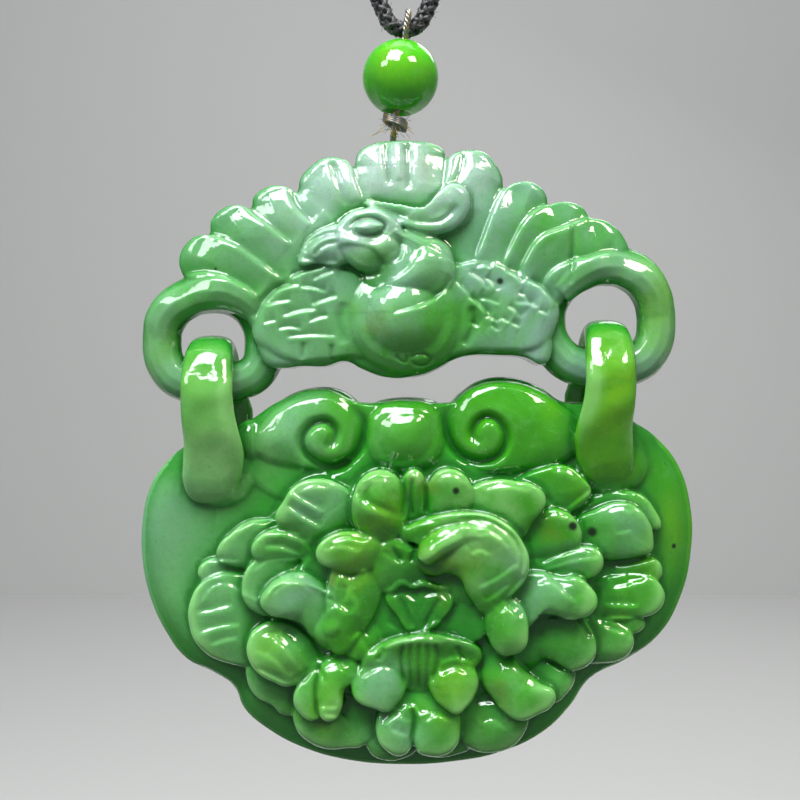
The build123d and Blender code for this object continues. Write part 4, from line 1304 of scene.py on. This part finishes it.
# Thread: a few metallic strands twisted into one loop that is laid round the neck cord. Both sides go
# down through the bead, are wound round once below it, and pass through the plaque's bore and back up.
BEAD_TOP = -238.588
THREAD_STRANDS = 3
THREAD_THICK = 0.17
THREAD_SIDE = 0.17
THREAD_TWIST = 24

# Corners of the thread's loop: toward the back, and along the leaning thread from the top of the bead
THREAD_CORNERS = [
    (-0.90, -1.2), (-1.10, 0.2), (-1.65, 1.0), (-1.65, 2.2), (-1.20, 3.0), (0.0, 3.0), (1.20, 3.0),
    (1.65, 2.2), (1.65, 1.0), (1.10, 0.2), (0.90, -1.2), (0.90, -7.6), (1.30, -8.8), (2.90, -9.7),
    (3.15, -10.6), (3.10, -12.6), (2.70, -12.7), (0.0, -10.02), (-0.60, -9.2), (-0.90, -7.9),
]


def on_thread(back, along, aside=0.0):
    """A point beside the leaning thread, measured from the top of the bead."""
    lean = math.sin(THREAD_LEAN)
    rise = math.cos(THREAD_LEAN)
    return Vector((lean * along + rise * aside, back, BEAD_TOP + rise * along - lean * aside))


def follow(corners, normal, closed=True, apart=0.1):
    """Even stations along a smooth route: places, sideways directions and shares of the way."""
    curve = bpy.data.curves.new("route", "CURVE")
    curve.dimensions = "3D"
    spline = curve.splines.new("NURBS")
    spline.points.add(len(corners) - 1)
    for point, corner in zip(spline.points, corners):
        point.co = (*corner, 1)
    spline.use_cyclic_u = closed
    spline.use_endpoint_u = not closed
    spline.order_u = 3
    spline.resolution_u = 24
    guide = meshed("route", curve)
    line = read_places(guide.data)
    bpy.data.objects.remove(guide)
    if closed:
        line = np.vstack((line, line[:1]))
    travelled = np.concatenate(([0], np.cumsum(np.linalg.norm(np.diff(line, axis=0), axis=1))))
    count = int(travelled[-1] / apart)
    stations = np.linspace(0, travelled[-1], count + (not closed), endpoint=not closed)
    places = np.stack([np.interp(stations, travelled, line[:, axis]) for axis in range(3)], axis=1)
    if closed:
        heading = np.roll(places, -1, axis=0) - np.roll(places, 1, axis=0)
    else:
        heading = np.gradient(places, axis=0)
    heading /= np.linalg.norm(heading, axis=1)[:, None]
    return places, np.cross(heading, normal), stations / travelled[-1]


def fibres(name, lines, thick, closed=True, sides=1):
    """Round strands along lines of points, as one mesh."""
    curve = bpy.data.curves.new(name, "CURVE")
    curve.dimensions = "3D"
    curve.bevel_depth = thick
    curve.bevel_resolution = sides
    curve.use_fill_caps = not closed
    for line in lines:
        spline = curve.splines.new("POLY")
        spline.points.add(len(line) - 1)
        spline.points.foreach_set("co", np.hstack((line, np.ones((len(line), 1)))).ravel())
        spline.use_cyclic_u = closed
    return meshed(name, curve)


def twisted(route, normal, count, turns, away):
    """Lines of strands that turn round a route together."""
    places, side, share = route
    lines = []
    for strand in range(count):
        angle = (2 * math.pi * (strand / count + turns * share))[:, None]
        lines.append(places + away * (np.cos(angle) * side + np.sin(angle) * np.array(normal)))
    return lines


chance = random.Random(5)
thread_normal = on_thread(0, 0, 1) - on_thread(0, 0)
thread_route = follow([on_thread(*corner) for corner in THREAD_CORNERS], thread_normal)
thread_lines = twisted(thread_route, thread_normal, THREAD_STRANDS, THREAD_TWIST, THREAD_SIDE)
thread_parts = [fibres("thread", thread_lines, THREAD_THICK)]

# The winding: turns round the thread just under the bead, tilted down to the right
WIND_AT = -8.36
WIND_RADIUS = 1.18
WIND_TILT = math.radians(16)
WIND_TURNS = 4
WIND_HEIGHT = 0.8
WIND_POINTS = 160
winding = []
for step in range(WIND_POINTS + 1):
    angle = 2 * math.pi * WIND_TURNS * step / WIND_POINTS
    along = WIND_HEIGHT * (step / WIND_POINTS - 0.5)
    aside = WIND_RADIUS * math.cos(angle)
    height = WIND_AT + along - math.tan(WIND_TILT) * aside
    winding.append(on_thread(WIND_RADIUS * math.sin(angle), height, aside))
thread_parts.append(fibres("winding", [np.array(winding)], THREAD_THICK, closed=False))

# Frayed hairs that stand out of the winding and lie along the top edge of the plaque
HAIRS = 46
HAIR_THICK = 0.028
HAIR_ROOT = 0.9
HAIR_HEIGHTS = (-0.9, 0.5)
HAIR_LENGTHS = (0.5, 1.2)
hairs = []
for _ in range(HAIRS):
    angle = chance.uniform(0, 2 * math.pi)
    height = WIND_AT + chance.uniform(*HAIR_HEIGHTS)
    root = on_thread(math.sin(angle) * HAIR_ROOT, height, math.cos(angle) * HAIR_ROOT)
    out = Vector((
        math.cos(angle) + chance.uniform(-0.6, 0.3),
        math.sin(angle) * 0.5,
        chance.uniform(-1.0, 0.5),
    ))
    reach = chance.uniform(*HAIR_LENGTHS)
    hairs.append(np.array([tuple(root + out * reach * share) for share in (0.0, 0.5, 1.0)]))
thread_parts.append(fibres("hairs", hairs, HAIR_THICK, closed=False, sides=0))


def gather(name, parts):
    """Joins the parts of one piece and makes millimetres metres."""
    whole = join(parts)
    rename(whole, name)
    in_metres(whole)
    return whole


# Tints of the thread, and the noise that shares them out
SILVER = (0.30, 0.30, 0.31)
GOLD = (0.55, 0.40, 0.16)
GLINTS = ((1300, 3), 0.45, 0.62)

thread = gather("thread_strands", thread_parts)
foil = Finish("silver_and_gold_thread")
foil.feed("Base Color", foil.blend(foil.layer(*GLINTS), SILVER, GOLD))
foil.set(Metallic=0.8, Roughness=0.38)
thread.data.materials.append(foil.material)
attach(thread, "hanger")
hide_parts("thread_loop")


# Neck cord: a black cord plaited of eight silky strands, a whole loop with its bend in the thread.
# Fine hairs stand out of the plait all along it, as it is machine-made of soft yarn.

# The arc round the neck: height of its middle, its radius, and the corners of the curve that draws it
CORD_MIDDLE = -68.2
NECK_REACH = 70
CORD_REACH = 71.75
CORD_POINTS = 9
CORD_STEP = math.radians(25.33)
CORD_FIRST = math.radians(-11.33)

# The straight sides: their lean, and how far in from their ends the corners of the curve lie
CORD_LEAN = math.radians(24)
HIGH_INSET = 15.74
LOW_INSET = 0.85

# The bend in the thread, in the same way
BEND_MIDDLE = -235.14
BEND_RADIUS = 2.1
BEND_REACH = 2.265
BEND_ANGLES = (-134, -90, -46)

# The plait: strands, turns round the loop, and how far its strands lie from the middle and weave
PLAIT_STRANDS = 8
PLAIT_TURNS = 140
PLAIT_MIDDLE = 0.54
PLAIT_WAVE = 0.14
PLAIT_STRAND = 0.32


def on_circle(height, radius, angle):
    """A point of a circle in the plane of the cord."""
    return Vector((math.cos(angle), 0, math.sin(angle))) * radius + Vector((0, 0, height))


cord_corners = []
for step in range(CORD_POINTS):
    cord_corners.append(on_circle(CORD_MIDDLE, CORD_REACH, CORD_FIRST + step * CORD_STEP))
lean_across = math.cos(CORD_LEAN)
lean_down = math.sin(CORD_LEAN)
left_high = Vector((-lean_across * NECK_REACH, 0, CORD_MIDDLE - lean_down * NECK_REACH))
left_low = Vector((-lean_across * BEND_RADIUS, 0, BEND_MIDDLE - lean_down * BEND_RADIUS))
run = (left_low - left_high).normalized()
cord_side_corners = [left_high + run * HIGH_INSET, left_low - run * LOW_INSET]
cord_corners += cord_side_corners
for angle in BEND_ANGLES:
    cord_corners.append(on_circle(BEND_MIDDLE, BEND_REACH, math.radians(angle)))
for corner in reversed(cord_side_corners):
    cord_corners.append(Vector((-corner.x, 0, corner.z)))

CORD_NORMAL = Vector((0, -1, 0))
cord_places, cord_side, cord_share = follow(cord_corners, CORD_NORMAL, apart=0.35)
plait = []
for strand in range(PLAIT_STRANDS):
    hand = 1 if strand < PLAIT_STRANDS / 2 else -1
    turned = 2 * math.pi * PLAIT_TURNS * cord_share
    angle = (hand * turned + strand * math.pi / 2)[:, None]
    away = (PLAIT_MIDDLE + hand * PLAIT_WAVE * np.cos(4 * turned))[:, None]
    plait.append(cord_places + away * (np.cos(angle) * cord_side + np.sin(angle) * np.array(CORD_NORMAL)))
cord_parts = [fibres("plait", plait, PLAIT_STRAND)]

# The fuzz: hairs, their thickness, where they root, how far they slant and how long they are
FUZZ_HAIRS = 2600
FUZZ_THICK = 0.022
FUZZ_ROOT = 0.75
FUZZ_SLANT = 1.2
FUZZ_LENGTHS = (0.25, 0.55)
fuzz = []
for _ in range(FUZZ_HAIRS):
    station = chance.randrange(len(cord_places))
    angle = chance.uniform(0, 2 * math.pi)
    across = Vector(cord_side[station]) * math.cos(angle) + CORD_NORMAL * math.sin(angle)
    along = Vector(cord_side[station]).cross(CORD_NORMAL) * chance.uniform(-FUZZ_SLANT, FUZZ_SLANT)
    root = Vector(cord_places[station]) + across * FUZZ_ROOT
    tip = root + (across + along) * chance.uniform(*FUZZ_LENGTHS)
    fuzz.append(np.array([tuple(root), tuple(tip)]))
cord_parts.append(fibres("fuzz", fuzz, FUZZ_THICK, closed=False, sides=0))

# Tints of the silk, and the noise that shares them out; the brighter tint is partly the fibres' own tone and
# partly painted sheen
SILK_DARK = (0.010, 0.010, 0.011)
SILK_BRIGHT = (0.10, 0.10, 0.105)
SHEEN = ((2400, 4), 0.4, 0.75)

neck_cord = gather("neck_cord_plait", cord_parts)
silk = Finish("black_silk")
silk.feed("Base Color", silk.blend(silk.layer(*SHEEN), SILK_DARK, SILK_BRIGHT))
silk.set(Roughness=0.42, Sheen_Weight=0.3, Sheen_Roughness=0.4)
neck_cord.data.materials.append(silk.material)
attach(neck_cord, "hanger")
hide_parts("neck_cord")


# Sleeve: a whipping of black thread over the place at the back of the neck where the cord's ends meet.
# It is wound tightly, turn by turn, with a raised turn at each end.
SLEEVE_SPAN = 9.4
SLEEVE_CORNERS = 7
SLEEVE_TURNS = 24
SLEEVE_RADIUS = 1.42
SLEEVE_THICK = 0.21
END_TURN_RADIUS = 1.50
END_TURN_THICK = 0.28
YARN_DARK = (0.012, 0.012, 0.013)
YARN_BRIGHT = (0.03, 0.03, 0.032)

sleeve_corners = []
for step in range(SLEEVE_CORNERS):
    angle = math.pi / 2 + (step / 3 - 1) * SLEEVE_SPAN / 2 / NECK_REACH
    place = (math.cos(angle) * NECK_REACH, 0, CORD_MIDDLE + math.sin(angle) * NECK_REACH)
    sleeve_corners.append(Vector(place))
sleeve_route = follow(sleeve_corners, CORD_NORMAL, closed=False, apart=0.02)
sleeve_lines = twisted(sleeve_route, CORD_NORMAL, 1, SLEEVE_TURNS, SLEEVE_RADIUS)
sleeve_parts = [fibres("whipping", sleeve_lines, SLEEVE_THICK, closed=False)]
for end in (0, -1):
    outward = Vector(sleeve_route[1][end])
    bpy.ops.object.select_all(action="DESELECT")
    bpy.ops.mesh.primitive_torus_add(
        major_radius=END_TURN_RADIUS,
        minor_radius=END_TURN_THICK,
        major_segments=40,
        minor_segments=10,
        location=Vector(sleeve_route[0][end]),
        rotation=outward.cross(CORD_NORMAL).to_track_quat("Z", "Y").to_euler(),
    )
    sleeve_parts.append(bpy.context.active_object)
sleeve = gather("sleeve_whipping", sleeve_parts)
yarn = Finish("black_whipping_thread")
yarn.feed("Base Color", yarn.blend(yarn.noise(3000, 3), YARN_DARK, YARN_BRIGHT))
yarn.set(Roughness=0.5)
sleeve.data.materials.append(yarn.material)
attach(sleeve, "hanger")
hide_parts("cord_join")


# Floor, light and camera: a pale sweep some way behind the hanging pendant, soft lamps above the
# plaques at the left, the right and behind, and one for the sweep, all seen straight on.
FLOOR_NEAR = 0.04
FLOOR_FAR = 0.90
FLOOR_HEIGHT = -0.442
FLOOR_SIZE = 4
WALL_RISE = (0, 0.25, 2.5)

bpy.ops.object.select_all(action="DESELECT")
bpy.ops.mesh.primitive_plane_add(size=FLOOR_SIZE, location=(0, 0, FLOOR_HEIGHT))
floor = bpy.context.active_object
floor.name = "floor"
bpy.ops.object.mode_set(mode="EDIT")
bpy.ops.mesh.select_all(action="DESELECT")
bpy.ops.object.mode_set(mode="OBJECT")
for vertex in floor.data.vertices:
    vertex.co.y = FLOOR_FAR if vertex.co.y > 0 else FLOOR_NEAR
for edge in floor.data.edges:
    edge.select = all(floor.data.vertices[index].co.y > FLOOR_NEAR for index in edge.vertices)
bpy.ops.object.mode_set(mode="EDIT")
bpy.ops.mesh.select_mode(type="EDGE")
bpy.ops.mesh.extrude_region_move(TRANSFORM_OT_translate={"value": WALL_RISE})
bpy.ops.object.mode_set(mode="OBJECT")
pale = Finish("pale_floor")
pale.set(Base_Color=(0.64, 0.64, 0.63, 1), Roughness=0.8)
floor.data.materials.append(pale.material)

# Soft square lamps: name, direction, distance and size in metres, watts, colour and what each shines on
PLAQUES = (0, 0, -0.28)
WALL = (0, 0.9, -0.1)
WHITE = (1.0, 1.0, 1.0)
LAMPS = [
    ("cool_lamp", (-0.238, -0.462, 0.855), 0.45, 0.24, 2.9, (0.92, 0.97, 1.0), PLAQUES),
    ("warm_lamp", (0.481, -0.497, 0.721), 0.45, 0.13, 1.0, (1.0, 0.90, 0.76), PLAQUES),
    ("left_lamp", (-0.66, -0.50, 0.56), 0.45, 0.13, 0.5, (0.94, 0.98, 1.0), PLAQUES),
    ("top_lamp", (0.0, -0.10, 1.0), 1.3, 1.0, 1.6, WHITE, PLAQUES),
    ("back_lamp", (0.35, 0.70, 0.70), 0.9, 0.4, 1.4, WHITE, PLAQUES),
    ("wall_lamp", (0.0, -0.55, 0.85), 1.0, 0.8, 3.4, WHITE, WALL),
]
for name, direction, distance, size, power, colour, target in LAMPS:
    light = bpy.data.lights.new(name, "AREA")
    light.size = size
    light.energy = power
    light.color = colour
    holder = add(name, light)
    away = Vector(direction).normalized()
    holder.location = Vector(target) + away * distance
    holder.rotation_mode = "QUATERNION"
    holder.rotation_quaternion = away.to_track_quat("Z", "Y")

world = bpy.data.worlds.new("room")
world.use_nodes = True
room = world.node_tree.nodes["Background"]
room.inputs["Color"].default_value = (0.55, 0.58, 0.60, 1)
room.inputs["Strength"].default_value = 0.34
bpy.context.scene.world = world

camera = add("camera", bpy.data.cameras.new("camera"))
camera.data.lens = 54
camera.data.sensor_width = 36
camera.data.clip_start = 0.005
camera.location = EYE * MM
camera.rotation_euler = (math.radians(90), 0, 0)
bpy.context.scene.camera = camera
bpy.context.scene.view_settings.view_transform = "Standard"
